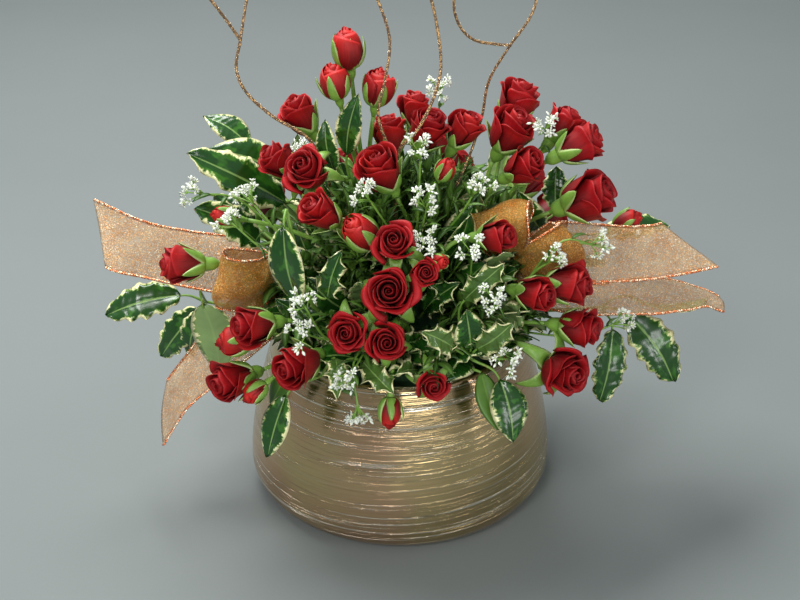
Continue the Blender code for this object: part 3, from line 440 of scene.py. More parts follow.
# Ribbon bows: the knot, then each length of ribbon with its slant and the points of its middle line. A
# point is its place and the direction across the ribbon there. A loop goes out and comes back, and its
# slant is 0. A tail's cut end runs further on one of its edges by its slant.
RIBBONS = {
    "left": [
        (-70, -2, 150),
        (15, [
            (-72, -1, 150, 0.1, 0.3, 1.0), (-84, 2, 150, 0.3, 0.4, 1.0), (-106, 6, 152, 0.3, 0.7, 0.8),
            (-130, 5, 157, 0.3, 0.9, 0.65), (-154, 2, 164, 0.25, 0.95, 0.6), (-174, 0, 171, 0.15, 0.9, 0.7),
            (-190, 6, 175, 0.0, 0.9, 0.75),
        ]),
        (-12, [
            (-72, -4, 148, -0.3, 0.3, 1.0), (-86, -14, 135, -0.4, 0.5, 0.8),
            (-104, -22, 118, -0.5, 0.7, 0.5), (-124, -24, 98, -0.5, 0.85, 0.2),
            (-142, -24, 79, -0.4, 0.95, 0.0), (-155, -26, 60, -0.4, 0.9, 0.1),
        ]),
        (0, [
            (-71, -5, 152, 0.1, 0.3, 1.0), (-76, -15, 160, 0.1, 0.3, 1.0), (-87, -36, 160, 0.2, -0.1, 1.0),
            (-99, -45, 163, 0.2, -0.1, 1.0), (-110, -41, 165, 0.2, -0.1, 1.0),
            (-110, -31, 165, 0.2, -0.1, 1.0), (-99, -26, 163, 0.2, -0.1, 1.0),
            (-86, -22, 159, 0.2, -0.1, 1.0),
        ]),
    ],
    "right": [
        (68, -18, 172),
        (-13, [
            (71, -17, 172, -0.1, 0.4, 1.0), (84, -12, 172, -0.1, 0.5, 0.9), (106, -8, 170, -0.1, 0.7, 0.75),
            (128, -4, 167, -0.1, 0.75, 0.65), (150, 0, 165, -0.1, 0.8, 0.55), (169, 2, 166, 0.0, 0.8, 0.55),
            (184, 4, 168, 0.0, 0.8, 0.55),
        ]),
        (6, [
            (71, -19, 170, -0.2, 0.5, 0.9), (84, -24, 160, -0.2, 0.7, 0.7),
            (104, -26, 150, -0.1, 0.95, 0.3), (128, -20, 142, -0.1, 1.0, 0.0),
            (152, -12, 140, -0.1, 1.0, 0.1), (176, -6, 139, 0.0, 1.0, 0.0), (194, -3, 136, 0.1, 1.0, -0.2),
            (208, -2, 129, 0.2, 1.0, -0.3),
        ]),
        (0, [
            (67, -21, 174, 1.0, -0.1, 0.2), (62, -32, 184, 0.9, -0.3, 0.3),
            (60, -35, 198, 0.9, -0.35, 0.35), (60, -29, 209, 0.9, -0.35, 0.35),
            (62, -18, 204, 0.9, -0.35, 0.35), (66, -14, 188, 0.9, -0.3, 0.3),
            (67, -15, 176, 1.0, -0.1, 0.2),
        ]),
        (0, [
            (70, -20, 173, -0.3, 0.3, 1.0), (80, -35, 176, -0.3, 0.0, 1.0), (94, -40, 181, -0.4, -0.1, 1.0),
            (107, -32, 184, -0.4, -0.1, 1.0), (99, -22, 181, -0.4, -0.1, 1.0),
            (84, -20, 177, -0.3, 0.0, 1.0),
        ]),
    ],
}

# Curly twigs: the route of each main stem, then of each side shoot, which starts on the stem.
CURLY_TWIGS = {
    "curly_twig_left": [
        [
            (-16, -3, 131), (-34, -6, 168), (-42, -2, 208), (-54, 0, 241), (-76, 2, 256), (-92, 6, 270),
            (-98, 10, 284), (-95, 15, 301), (-91, 22, 322), (-85, 28, 346), (-88, 34, 368),
            (-99, 34, 380), (-110, 28, 374), (-108, 22, 362),
        ],
        [(-95, 15, 300), (-104, 12, 316), (-113, 9, 330), (-127, 4, 346), (-140, 2, 366), (-138, 4, 384)],
    ],
    "curly_twigs_right": [
        [
            (0, -4, 134), (-4, -14, 175), (-2, -16, 215), (-1, -16, 241), (11, -17, 257), (21, -12, 278),
            (24, -4, 296), (19, 3, 326), (10, 7, 350), (12, 12, 374), (24, 14, 388), (36, 12, 382),
            (36, 8, 370),
        ],
        [
            (-2, -16, 226), (-8, -13, 246), (-13, -13, 264), (-9, -11, 284), (-6, 0, 306), (-14, 8, 330),
            (-24, 14, 352), (-22, 20, 374), (-12, 22, 386),
        ],
        [
            (-4, -14, 176), (8, -13, 179), (24, -7, 193), (40, 8, 220), (50, 21, 246), (54, 20, 272),
            (65, 12, 297), (76, 10, 315), (80, 12, 328), (80, 16, 348), (70, 20, 366), (56, 18, 374),
        ],
        [
            (66, 12, 298), (56, 6, 301), (43, 0, 306), (34, -4, 317), (31, -6, 333), (38, -4, 348),
            (50, 0, 356), (60, 2, 350),
        ],
    ],
}


def unit(vectors, least=1e-9):
    """A vector, or each of many, at length 1. One shorter than the least stays shorter than 1."""
    return vectors / np.maximum(np.linalg.norm(vectors, axis=-1, keepdims=True), least)


def direction(facing):
    """The unit vector that points round from the front by the first angle and up by the second."""
    around, above = (math.radians(angle) for angle in facing)
    level = math.cos(above)
    return np.array((math.sin(around) * level, -math.cos(around) * level, math.sin(above)))


def any_direction(rng):
    return np.array([rng.uniform(-1, 1) for _ in range(3)])


def from_centre(towards, reach):
    return np.array(STEM_CENTRE) + towards * reach


def lifted(towards):
    """The direction, raised where needed so that a stem clears the bowl's rim."""
    towards = unit(towards)
    above = math.degrees(math.asin(towards[2]))
    around = math.degrees(math.atan2(towards[0], -towards[1]))
    return direction((around, max(above, LOWEST_EXIT)))


def frame_along(axis, hint=UP):
    """Two unit vectors square to an axis and to each other."""
    side = np.cross(hint, axis)
    if np.linalg.norm(side) < NEARLY_PARALLEL:
        side = np.cross(SIDEWAYS, axis)
    side = unit(side)
    return side, np.cross(unit(axis), side)


def spoke(sides, turn):
    """The way out from an axis at a turn, or at each of many turns."""
    return np.cos(turn)[..., None] * sides[0] + np.sin(turn)[..., None] * sides[1]


def laid(base, *moves):
    """A grid of points: the base moved by each distance in its direction."""
    return base + sum(np.asarray(distance)[..., None] * way for distance, way in moves)


def places(rows, columns):
    """Places across a blade, from -1 to 1, and along it, from 0 to 1."""
    return np.linspace(-1.0, 1.0, columns)[None, :], np.linspace(0.0, 1.0, rows)[:, None]


def bezier(corners, at):
    """Points on a cubic curve with four corners, at places from 0 to 1."""
    start, first, second, end = (np.asarray(corner, float) for corner in corners)
    t = np.asarray(at, float)[..., None]
    s = 1.0 - t
    return start * s ** 3 + first * (3 * s * s * t) + second * (3 * s * t * t) + end * t ** 3


def smooth_route(route, count):
    """Points along a smooth curve through a route's own points."""
    points = np.asarray(route, float)
    ends = np.concatenate([[points[0] * 2 - points[1]], points, [points[-1] * 2 - points[-2]]])
    t = (np.arange(count) / count)[:, None]
    spans = [
        0.5 * (
            start * 2 + (end - before) * t + (before * 2 - start * 5 + end * 4 - after) * t * t
            + (start * 3 - before - end * 3 + after) * t ** 3
        )
        for before, start, end, after in zip(ends, ends[1:], ends[2:], ends[3:])
    ]
    return np.concatenate([*spans, points[-1:]])


def ease(value, low, high):
    """0 below low, 1 above high, and smooth between them."""
    part = np.clip((value - low) / (high - low), 0.0, 1.0)
    return part * part * (3.0 - 2.0 * part)


def add_object(name, data):
    made = bpy.data.objects.new(name, data)
    bpy.context.scene.collection.objects.link(made)
    return made


class Shape:
    """Points, faces and painted values of one piece, in millimetres, with its kinds of look."""

    def __init__(self, *kinds):
        self.kinds = kinds
        self.points = []
        self.paint = []
        self.faces = []
        self.coats = []
        self.count = 0

    def add(self, points, paint, faces, coat=0):
        """Paint is four values for each point, or the same four for all of them."""
        points = np.asarray(points, float).reshape(-1, 3)
        self.paint.append(np.broadcast_to(np.asarray(paint, float), (len(points), 4)))
        self.points.append(points)
        self.faces.extend([corner + self.count for corner in face] for face in faces)
        self.coats.extend([coat] * len(faces))
        self.count += len(points)

    def build(self, name, slot, *replaced):
        """The finished piece, which rides on the one body and stands for the replaced solids."""
        mesh = bpy.data.meshes.new(name)
        mesh.from_pydata((np.concatenate(self.points) * MM).tolist(), [], self.faces)
        painted = mesh.attributes.new("paint", "FLOAT_COLOR", "POINT")
        painted.data.foreach_set("color", np.concatenate(self.paint).ravel())
        for kind in self.kinds:
            mesh.materials.append(material(kind))
        mesh.polygons.foreach_set("material_index", self.coats)
        mesh.shade_smooth()
        piece = add_object(name, mesh)
        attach(piece, "root")
        if replaced:
            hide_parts(*replaced)
        return piece


def quads(index):
    """Four-cornered faces on a grid of point numbers."""
    corners = (index[:-1, :-1], index[:-1, 1:], index[1:, 1:], index[1:, :-1])
    return np.stack(corners, axis=-1).reshape(-1, 4).tolist()


def blade(shape, grid, thickness, paint, coat=0, under=None):
    """A thin closed body on a grid of points, thickest inside and sharp at its rim."""
    rows, columns = grid.shape[:2]
    upper_paint, under_paint = (
        np.stack([np.broadcast_to(value, (rows, columns)) for value in values], axis=-1)
        for values in (paint, under or paint)
    )
    normal = unit(np.cross(np.gradient(grid, axis=1), np.gradient(grid, axis=0)))
    offset = np.zeros_like(grid)
    offset[1:-1, 1:-1] = normal[1:-1, 1:-1] * (thickness / 2.0)
    upper = np.arange(rows * columns).reshape(rows, columns)
    lower = upper.copy()
    lower[1:-1, 1:-1] = rows * columns + np.arange((rows - 2) * (columns - 2)).reshape(rows - 2, -1)
    points = [(grid + offset).reshape(-1, 3), (grid - offset)[1:-1, 1:-1].reshape(-1, 3)]
    values = [upper_paint.reshape(-1, 4), under_paint[1:-1, 1:-1].reshape(-1, 4)]
    faces = quads(upper) + [face[::-1] for face in quads(lower)]
    shape.add(np.concatenate(points), np.concatenate(values), faces, coat)


def rings(shape, points, paint=UNPAINTED, coat=0):
    """A closed round body on rings of points, with a flat face at each end."""
    points = np.asarray(points)
    index = np.arange(points.shape[0] * points.shape[1]).reshape(points.shape[:2])
    faces = quads(np.concatenate([index, index[:, :1]], axis=1))
    faces += [index[0][::-1].tolist(), index[-1].tolist()]
    shape.add(points, paint, faces, coat)


def ring_turns(sides):
    return np.arange(sides) * (FULL_TURN / sides)


def pipe(shape, route, radii, sides, paint=UNPAINTED, coat=0):
    """A closed round body along a route, with a radius for each of its points."""
    route = np.asarray(route, float)
    ahead = np.gradient(route, axis=0)
    hint = UP if abs(unit(ahead[0])[2]) < NEARLY_UPRIGHT else SIDEWAYS
    points = []
    for point, axis, radius in zip(route, ahead, np.broadcast_to(radii, len(route))):
        square = frame_along(unit(axis), hint)
        hint = square[1]
        points.append(point + radius * spoke(square, ring_turns(sides)))
    rings(shape, points, paint, coat)


def stalk(shape, route, first, last, sides, flush=0.0, coat=0):
    """A green stem that thins from its first radius to its last. Flush is how red its skin is."""
    pipe(shape, route, np.linspace(first, last, len(route)), sides, (0.5, 0.5, 0.0, flush), coat)


def turned(shape, foot, axis, profile, sides, paint, coat=0):
    """A closed body turned round an axis, from pairs of radius and height."""
    radii, heights = np.array(profile).T
    route = np.asarray(foot) + np.outer(heights, unit(axis))
    pipe(shape, route, np.maximum(radii, POLE_RADIUS), sides, paint, coat)


class Head:
    """A rose head: its width, how far it has opened, its axis and the base under its petals."""

    def __init__(self, middle, width, opened, facing):
        self.width = width
        self.opened = opened
        self.closed = opened < CLOSED_BELOW
        self.part = (opened - CLOSED_BELOW) / (1.0 - CLOSED_BELOW)
        self.tall = BUD_HEIGHT if self.closed else 1.12 - 0.34 * self.part
        self.axis = direction(facing)
        self.sides = frame_along(self.axis)
        foot = (0.5 if self.closed else 0.485) * self.tall * width
        self.base = np.array(middle, float) - self.axis * foot
        self.hip = HIP_LENGTH * min(1.0, width / HIP_FULL_SIZE)

    def grid(self, angle, radius, height):
        return laid(self.base, (radius, spoke(self.sides, angle)), (height, self.axis))

    def petal_line(self, depth, at):
        """Radius and height along a petal's middle, from its foot to its lip. Depth 1 is outermost."""
        opened, part = self.opened, self.part
        if self.closed:
            corners = (
                (0.10 + 0.08 * depth, 0.0),
                (0.26 + 0.34 * depth, 0.22),
                (0.20 + (0.36 + 0.3 * opened) * depth, 0.90),
                (0.03 + (0.20 + 0.6 * opened) * depth, self.tall * (1.0 - (0.14 + 0.3 * opened) * depth)),
            )
        else:
            lip = 0.04 + (0.44 - 0.10 * part) * depth ** 1.15
            swell = math.sin(math.pi * min(1.0, depth / 0.8))
            lip_height = self.tall * (0.86 + 0.11 * swell - (0.02 + 0.20 * part) * depth ** 2)
            belly = lip * (1.25 - (0.42 + 0.06 * part) * depth) + 0.02
            foot_height = 0.3 * self.tall * (1.0 - depth)
            corners = (
                (0.06 + 0.09 * depth, foot_height),
                (0.12 + (0.26 + 0.12 * part) * depth, foot_height + 0.10),
                (belly, lip_height - 0.20 + 0.12 * part * depth),
                (lip, lip_height),
            )
        line = bezier(corners, at) * self.width
        return line[..., 0], line[..., 1]

    def petal_count(self):
        if self.closed:
            return 7 if self.width < SMALL_BUD else 9
        full = 13 if self.opened < WIDE_OPEN else 15
        return full - 2 if self.width < SMALL_HEAD else full


def petal(shape, head, turn, depth, rng):
    """An arched sheet wound part of the way round the head's axis, with its lip rolled out."""
    across, along = places(*(PETAL_GRID if depth > HEART_DEPTH else HEART_GRID))
    from_middle = np.abs(across)
    reach = along * (1.0 - (0.12 + 0.12 * depth) * from_middle ** 2.4)
    radius, height = head.petal_line(depth, reach)
    lean = rng.uniform(-1.0, 1.0)
    phase = rng.uniform(0.0, FULL_TURN)
    waves = rng.uniform(3.0, 5.5)
    strength = rng.uniform(0.6, 1.25)
    rolled = 0.0 if head.closed else ease(depth, 0.1, 0.7) * (0.45 + 0.55 * ease(head.opened, 0.4, 1.0))
    roll = rolled * strength
    curl = ease(along, 0.72, 1.0) ** 1.4
    wave = np.sin(across * waves + phase) * along ** 3
    point_out = (1.0 - from_middle) ** 2 * along ** 4
    radius = radius * (1.0 + (0.24 - 0.12 * depth) * across) + head.width * (
        0.025 * lean * depth * along + (0.010 + 0.020 * depth) * wave + 0.05 * rolled * point_out
        + roll * (0.075 * curl + 0.04 * from_middle ** 3 * along ** 2)
    )
    height = height + head.width * (
        0.016 * np.cos(across * waves * 1.3 + phase) * along ** 2 + 0.03 * lean * (0.3 + depth) * along
        - roll * 0.055 * (curl + across ** 2 * along ** 3)
    )
    wound = math.radians(140.0 - 45.0 * depth if head.closed else 160.0 - 106.0 * depth ** 0.6)
    angle = turn + wound * (0.6 + 0.4 * ease(along, 0.0, 0.6)) * across
    warmth = np.clip(1.0 - head.opened + rng.uniform(-0.25, 0.25), 0.0, 1.0)
    # How far along the petal a point lies sets its painted shade at the foot and painted light at the lip,
    # and depth darkens the inner petals as painted shade
    paint = (reach, depth, warmth, across * 0.5 + 0.5)
    blade(shape, head.grid(angle, radius, height), PETAL_THICKNESS, paint)


def rose_head(shape, head, rng):
    """Petals set round the axis by the golden turn, from the tight heart to the rolled outer ones."""
    count = head.petal_count()
    turn = rng.uniform(0.0, FULL_TURN)
    for index in range(count):
        turn += GOLDEN_TURN + rng.uniform(-0.12, 0.12)
        petal(shape, head, turn, index / (count - 1), rng)
    heart = np.array(HEART_PROFILE) * head.petal_line(0.0, 0.9)
    # The closed heart in the middle is painted low on the lip and depth, so it takes the petals' painted
    # shade
    turned(shape, head.base, head.axis, heart, 8, (0.2, 0.0, 0.5, 0.5))


def hip(shape, head):
    """The green swelling under a flower, with the cup that its sepals grow from."""
    neck = HIP_NECK * head.width
    profile = [(BRANCH_RADIUS, -head.hip - 1.0), (BRANCH_RADIUS * BRANCH_SWELL, -head.hip)]
    profile += [(radius * neck, height * head.hip) for radius, height in HIP_PROFILE]
    profile += [(1.1 * neck, 0.6), (0.7 * neck, 1.2)]
    turned(shape, head.base, head.axis, profile, 12, (0.5, 0.5, 0.0, 0.0))


def sepal(shape, head, turn, rng):
    """One pointed sepal: it holds to a bud's side and hangs back from an open flower."""
    width = head.width
    across, along = places(*SEPAL_GRID)
    spread = 0.26 if head.closed else 0.195
    half = (spread * width + 0.3) * (1.0 - along) ** 0.85 * (0.8 + 0.8 * along) + 0.12
    flare = rng.choice(SEPAL_FLARES)
    if head.opened < WIDE_OPEN:
        length = rng.uniform(0.78, 0.98) if head.closed else rng.uniform(0.5, 0.72)
        radius, height = head.petal_line(1.0, length * along)
        radius = np.maximum(radius, 0.15 * width) * 1.04 + 0.35 + width * flare * along ** 3
    else:
        length = rng.uniform(0.42, 0.58) * width
        radius = 0.15 * width + length * np.sin(1.2 * along)
        height = width * (0.16 * np.sin(math.pi * along) - (0.25 + flare) * along ** 2)
    radius = radius - 0.35 * half * across ** 2
    angle = turn + half * across / np.maximum(radius, 0.12 * width)
    paint = (across * 0.5 + 0.5, along, 1.0, 0.0)
    blade(shape, head.grid(angle, radius, height), SEPAL_THICKNESS, paint)


def stem_line(fork, towards, head):
    """A branch from the fork to the hip, which comes in along the flower's axis."""
    end = head.base - head.axis * head.hip
    pull = BRANCH_PULL * np.linalg.norm(end - fork)
    corners = (fork, fork + towards * pull, end - head.axis * pull, end)
    return bezier(corners, np.linspace(0.0, 1.0, BRANCH_POINTS))


def prickles(shape, line, rng):
    for index in range(2, len(line) - 3, 3):
        tilt = rng.uniform(-1, 1) + UP
        outward = unit(np.cross(line[index + 1] - line[index], tilt))
        foot = line[index] + outward * BRANCH_RADIUS * 0.8
        turned(shape, foot, outward, PRICKLE_PROFILE, 5, (0.5, 0.3, 0.0, 0.6))


def rose_spray(spray, groups):
    """The heads of one spray, group by group, and its forked stem with hips and sepals."""
    groups = {group: [Head(*values) for values in rows] for group, rows in groups.items()}
    heads = [head for group in groups.values() for head in group]
    towards = lifted(sum(unit(head.base - STEM_CENTRE) for head in heads))
    fork = from_centre(towards, FORK_REACH)
    name = "rose_stems_" + spray
    rng = random.Random(name)
    stems = Shape("stems")
    main = [from_centre(towards, reach) for reach in MAIN_REACHES]
    stalk(stems, main, MAIN_RADIUS, MAIN_RADIUS, sides=10, flush=0.3)
    for index, head in enumerate(heads):
        line = stem_line(fork - towards * (FORK_STEP * index), towards, head)
        stalk(stems, line, BRANCH_RADIUS * BRANCH_SWELL, BRANCH_RADIUS, sides=8, flush=0.3)
        prickles(stems, line, rng)
        hip(stems, head)
        first = rng.uniform(0.0, FULL_TURN)
        for place in range(SEPALS):
            sepal(stems, head, first + place * FULL_TURN / SEPALS, rng)
    stems.build("stems_" + spray, "rose_stems", name)
    for group, group_heads in groups.items():
        petals = Shape("petals")
        for head in group_heads:
            rose_head(petals, head, rng)
        petals.build("petals_" + group, "petals", group)


def leaf_half_width(along, teeth, spines):
    """How wide a leaf is at places along it, as a part of its half width."""
    if not spines:
        return np.sin(math.pi * along ** 0.85) ** 0.8
    body = np.sin(math.pi * along ** 0.85) ** 0.6
    place = np.mod(spines * along + 0.35, 1.0)
    tooth = np.where(place < 0.75, (place / 0.75) ** 2.2, (1.0 - place) / 0.25)
    return body * (1.0 - teeth + 1.25 * teeth * tooth)


def leaf(shape, base, tip, width, kind, facing, rng, coat=0):
    """A holly blade with a raised rib, a wavy edge and a thin painted margin."""
    rows, columns, spines, teeth, ruffle = LEAF_KINDS[kind]
    base, tip = np.array(base, float), np.array(tip, float)
    length = np.linalg.norm(tip - base)
    ahead = unit(tip - base)
    side = unit(np.cross(ahead, direction(facing)))
    across, along = places(rows, columns)
    half = (width / 2.0) * leaf_half_width(along, teeth, spines) + 0.12
    arch = np.sin(math.pi * along)
    fold = 0.06 * np.abs(across) + 0.03 * np.sin(math.pi * np.abs(across))
    edge_wave = ruffle * np.cos(math.pi * (2.0 * spines * along + 0.7)) * across ** 4
    curl = rng.uniform(-0.06, 0.06) * along ** 2 * across
    lift = length * (0.1 * arch + curl) + width * (fold + edge_wave)
    bend = rng.uniform(-0.05, 0.05) * length * arch
    grid = laid(base, (along * length, ahead), (across * half + bend, side), (lift, np.cross(side, ahead)))
    tone = 0.7 * rng.random() + (0.3 if kind == "spined" else 0.0)
    upper, under = ((across * 0.5 + 0.5, along, below, tone) for below in (0.0, 1.0))
    blade(shape, grid, LEAF_THICKNESS, upper, coat, under)


def leaf_stalk(shape, line, base, tip):
    """A short stalk from the nearest place on a twig's middle line into a leaf's base."""
    base = np.array(base, float)
    root = min(line, key=lambda point: np.linalg.norm(point - base))
    ahead = unit(np.array(tip, float) - base)
    pull = 0.4 * np.linalg.norm(base - root)
    corners = (root, root + unit(base - root) * pull, base - ahead * pull, base + ahead * 3.0)
    stalk(shape, bezier(corners, np.linspace(0.0, 1.0, 9)), 1.0, 0.6, sides=6, flush=0.8, coat=1)


def holly_twig(name, route, leaves):
    rng = random.Random(name)
    towards = lifted(np.array(route[0], float) - STEM_CENTRE)
    line = [from_centre(towards, STEM_START), from_centre(towards, FORK_REACH), *route[1:]]
    line = smooth_route(line, TWIG_STEPS)
    shape = Shape("holly", "stems")
    stalk(shape, line, TWIG_RADIUS, TWIG_RADIUS * 0.7, sides=8, flush=0.2, coat=1)
    for base, tip, width, kind, facing in leaves:
        leaf_stalk(shape, line[TWIG_STEPS:], base, tip)
        leaf(shape, base, tip, width, kind, facing, rng)
    shape.build("leaves_" + name, "holly", name)


def floret(shape, centre, axis, width, rng):
    """A small white flower: five cupped petals and a pale middle."""
    sides = frame_along(axis, (rng.uniform(-1, 1), rng.uniform(-1, 1), 0.3))
    across, along = places(*FLORET_GRID)
    radius = width * (0.06 + 0.44 * along) * (1.0 - 0.12 * across ** 2)
    spread = 0.5 * np.sin(math.pi * (0.15 + 0.7 * along)) * across
    tone = rng.random()
    for index in range(FLORET_PETALS):
        turn = index * FULL_TURN / FLORET_PETALS + rng.uniform(-0.15, 0.15)
        height = width * (0.05 + rng.uniform(0.10, 0.3) * along ** 1.5 + 0.05 * across ** 2)
        grid = laid(centre, (radius, spoke(sides, turn + spread)), (height, axis))
        blade(shape, grid, SMALL_THICKNESS, (along, 0.0, tone, 0.0))
    turned(shape, centre - axis * 0.6, axis, FLORET_PROFILE, 5, (0.0, 1.0, tone, 0.0))


def floret_bud(shape, centre, axis, rng):
    size = rng.uniform(0.8, 1.2)
    profile = ((0.3, 0.0), (0.8 * size, 1.2), (0.7 * size, 2.2), (0.0, 3.2))
    turned(shape, centre, axis, profile, 6, (0.8, 0.1, 0.5, 0.0))


def narrow_leaf(shape, base, ahead, length, width, rng, coat):
    """A small plain leaf that bends down towards its tip."""
    across, along = places(*NARROW_GRID)
    side, up = frame_along(ahead, (rng.uniform(-0.4, 0.4), rng.uniform(-0.4, 0.4), 1.0))
    half = width / 2.0 * np.sin(math.pi * along ** 0.8) ** 0.9 + 0.08
    droop = 0.16 * np.sin(math.pi * along * 0.9) - 0.10 * along ** 2
    lift = length * droop + 0.1 * width * np.abs(across)
    grid = laid(base, (along * length, ahead), (across * half, side), (lift, up))
    blade(shape, grid, SMALL_THICKNESS, (across * 0.5 + 0.5, along, 0.0, rng.random()), coat)


def floret_cluster(shape, end, axis, rng):
    """Tufts of florets and buds on short stalks round the end of a filler stalk."""
    sides = frame_along(axis)
    start = end - axis * CLUSTER_LENGTH * 0.55
    for tuft in range(TUFTS):
        turn = tuft * GOLDEN_TURN + rng.uniform(-0.4, 0.4)
        lean = 0.15 if tuft == 0 else rng.uniform(0.55, 1.1)
        outward = unit(axis + spoke(sides, turn) * lean)
        foot = start + axis * (CLUSTER_LENGTH * rng.uniform(0.0, 0.3))
        top = foot + outward * (CLUSTER_LENGTH * rng.uniform(0.55, 0.8))
        stalk(shape, [foot, (foot + top) / 2 + axis * 0.6, top], 0.4, 0.4, sides=5, coat=1)
        for index in range(TUFT_FLORETS):
            facing = unit(outward * 0.9 + any_direction(rng))
            centre = top + facing * rng.uniform(1.2, 3.2) + outward * rng.uniform(-3.0, 1.0)
            stalk(shape, [top - outward * 2.0, centre], 0.25, 0.25, sides=4, coat=1)
            if index % 2:
                floret_bud(shape, centre, facing, rng)
            else:
                floret(shape, centre, facing, FLORET_WIDTH * rng.uniform(0.8, 1.15), rng)
    stalk(shape, [start - axis * 4.0, start, end], 0.5, 0.5, sides=5, coat=1)


def filler_spray(name, facing, clusters):
    rng = random.Random(name)
    towards = direction(facing)
    shape = Shape("florets", "stems", "sprig")
    for index, (middle, bend) in enumerate(clusters):
        reaches = (STEM_START, FORK_REACH) if index == 0 else (FORK_REACH - FORK_STEP * index,)
        line = smooth_route([from_centre(towards, reach) for reach in reaches] + [bend, middle], FILLER_STEPS)
        thick = FILLER_MAIN_RADIUS if index == 0 else FILLER_RADIUS
        stalk(shape, line, thick, FILLER_RADIUS * 0.8, sides=6, coat=1)
        outward = unit(line[-1] - line[-2])
        floret_cluster(shape, line[-1], outward, rng)
        for place in range(4, len(line) - 2, 2):
            ahead = unit(outward + any_direction(rng))
            narrow_leaf(shape, line[place], ahead, rng.uniform(9, 17), rng.uniform(2.2, 3.6), rng, 2)
    shape.build("florets_" + name, "filler", name)


def sprig(shape, towards, reach, rng):
    """A thin stem that runs straight out from the foam, with narrow leaves that lie along it."""
    middle = from_centre(towards, 0.5 * (SPRIG_START + reach)) + rng.uniform(-4, 4)
    line = [from_centre(towards, SPRIG_START), middle, from_centre(towards, reach)]
    line = smooth_route(line, SPRIG_STEPS)
    stalk(shape, line, 0.9, 0.4, sides=5)
    for place in line[3:]:
        for _ in range(2):
            ahead = unit(towards * 1.2 + any_direction(rng))
            narrow_leaf(shape, place, ahead, rng.uniform(12, 24), rng.uniform(3.0, 7.0), rng, 1)


def collar_leaf(shape, around, above, facing_up, rng):
    """A broad leaf that lies out over the foam, turned to one side."""
    towards = direction((around, above))
    base = from_centre(towards, rng.uniform(64.0, 71.0) + COLLAR_RISE * max(0.0, above - COLLAR_FLAT))
    turned_by = rng.uniform(-60.0, 60.0)
    ahead = direction((around + turned_by, above + rng.uniform(-8.0, 18.0)))
    length = rng.uniform(30.0, 44.0)
    facing = (around + rng.uniform(-15.0, 15.0), facing_up + rng.uniform(-12.0, 12.0))
    kind = rng.choice(COLLAR_KINDS)
    stalk(shape, [from_centre(towards, COLLAR_START), base, base + ahead * 3.0], 0.8, 0.8, sides=5, flush=0.6)
    leaf(shape, base, base + ahead * length, length * rng.uniform(0.5, 0.62), kind, facing, rng, 2)


def make_greenery(name, first, last):
    """Leafy sprigs between the flowers, and broad leaves low down that hide the foam."""
    rng = random.Random(name)
    shape = Shape("stems", "sprig", "holly")
    for index in range(GREENERY_STEMS):
        around = first + (last - first) * (index + 0.5) / GREENERY_STEMS + rng.uniform(-8, 8)
        above = SPRIG_LOWEST + index * SPRIG_SPREAD[0] % SPRIG_SPREAD[1]
        reach = SPRIG_REACH + SPRIG_RISE * math.sin(math.radians(above)) + rng.uniform(-8, 8)
        sprig(shape, direction((around, above)), reach, rng)
    for count, above, facing_up in COLLAR_RINGS:
        for index in range(count):
            around = first + (last - first) * (index + rng.uniform(0.2, 0.8)) / count
            collar_leaf(shape, around, above + rng.uniform(-2.0, 4.0), facing_up, rng)
    for base, tip, width, facing in HANGING_LEAVES.get(name, ()):
        stalk(shape, [(np.array(base) + STEM_CENTRE) / 2.0, base], 0.8, 0.8, sides=5, flush=0.6)
        leaf(shape, base, tip, width, "plain", facing, rng, 1)
    shape.build(name, "filler")


def ribbon_grid(line, knot, slant, rng):
    """The gathered and gently rippled surface of one length. A loop is puffed out and rounded."""
    points = smooth_route(line, RIBBON_STEPS)
    middles, acrosses = points[:, :3], points[:, 3:]
    ahead = unit(np.gradient(middles, axis=0))
    acrosses = unit(acrosses - ahead * np.sum(acrosses * ahead, axis=1, keepdims=True))
    spread = np.minimum(1.0, np.linalg.norm(middles - knot, axis=1) / GATHER_LENGTH)[:, None]
    half = (KNOT_WIDTH + (RIBBON_WIDTH - KNOT_WIDTH) * spread) / 2.0
    across, part = places(len(middles), RIBBON_COLUMNS)
    phase = rng.uniform(0.0, FULL_TURN)
    lift = GATHER_DEPTH * (1.0 - spread) * np.sin(across * 3.0 * math.pi + phase)
    if slant:
        lift = lift + RIPPLE * spread * np.sin(across * 2.2 + part * 7.0 + phase)
    else:
        lift = lift + CREASE * spread * np.sin(across * 3.4 + part * 11.0 + phase)
    lift = lift + RIPPLE * 1.3 * across ** 2 * np.sin(part * 4.0 + phase)
    normals = np.cross(acrosses, ahead)[:, None, :]
    grid = laid(middles[:, None, :], (across * half, acrosses[:, None, :]), (lift, normals))
    if slant:
        return laid(grid, (slant * across * ease(part, 0.7, 1.0), unit(middles[-1] - middles[-2])))
    from_knot = unit(middles - knot, 1.0)[:, None, :]
    from_inside = unit(middles - middles.mean(axis=0), 1.0)[:, None, :]
    rounded = -LOOP_ROUND * across ** 2 * spread
    puffed = LOOP_PUFF * (1.0 - across ** 2) * spread
    return laid(grid, (rounded, from_knot), (puffed, from_inside))


def line_length(line):
    """How far each point of a line is from its start, along the line."""
    return np.concatenate([[0.0], np.cumsum(np.linalg.norm(np.diff(line, axis=0), axis=1))])


def wired_edge(shape, edge):
    """Two thin strands twisted round each other along a ribbon's edge."""
    length = line_length(edge)
    at = np.arange(0.0, length[-1], WIRE_STEP)
    line = np.stack([np.interp(at, length, edge[:, axis]) for axis in range(3)], axis=1)
    squares = [frame_along(unit(axis), (0.3, 0.2, 1.0)) for axis in np.gradient(line, axis=0)]
    for start in (0.0, math.pi):
        turns = start + at * FULL_TURN / TWIST_LENGTH
        strand = [
            point + spoke(square, turn) * WIRE_RADIUS for point, square, turn in zip(line, squares, turns)
        ]
        pipe(shape, strand, WIRE_RADIUS, sides=5, coat=1)


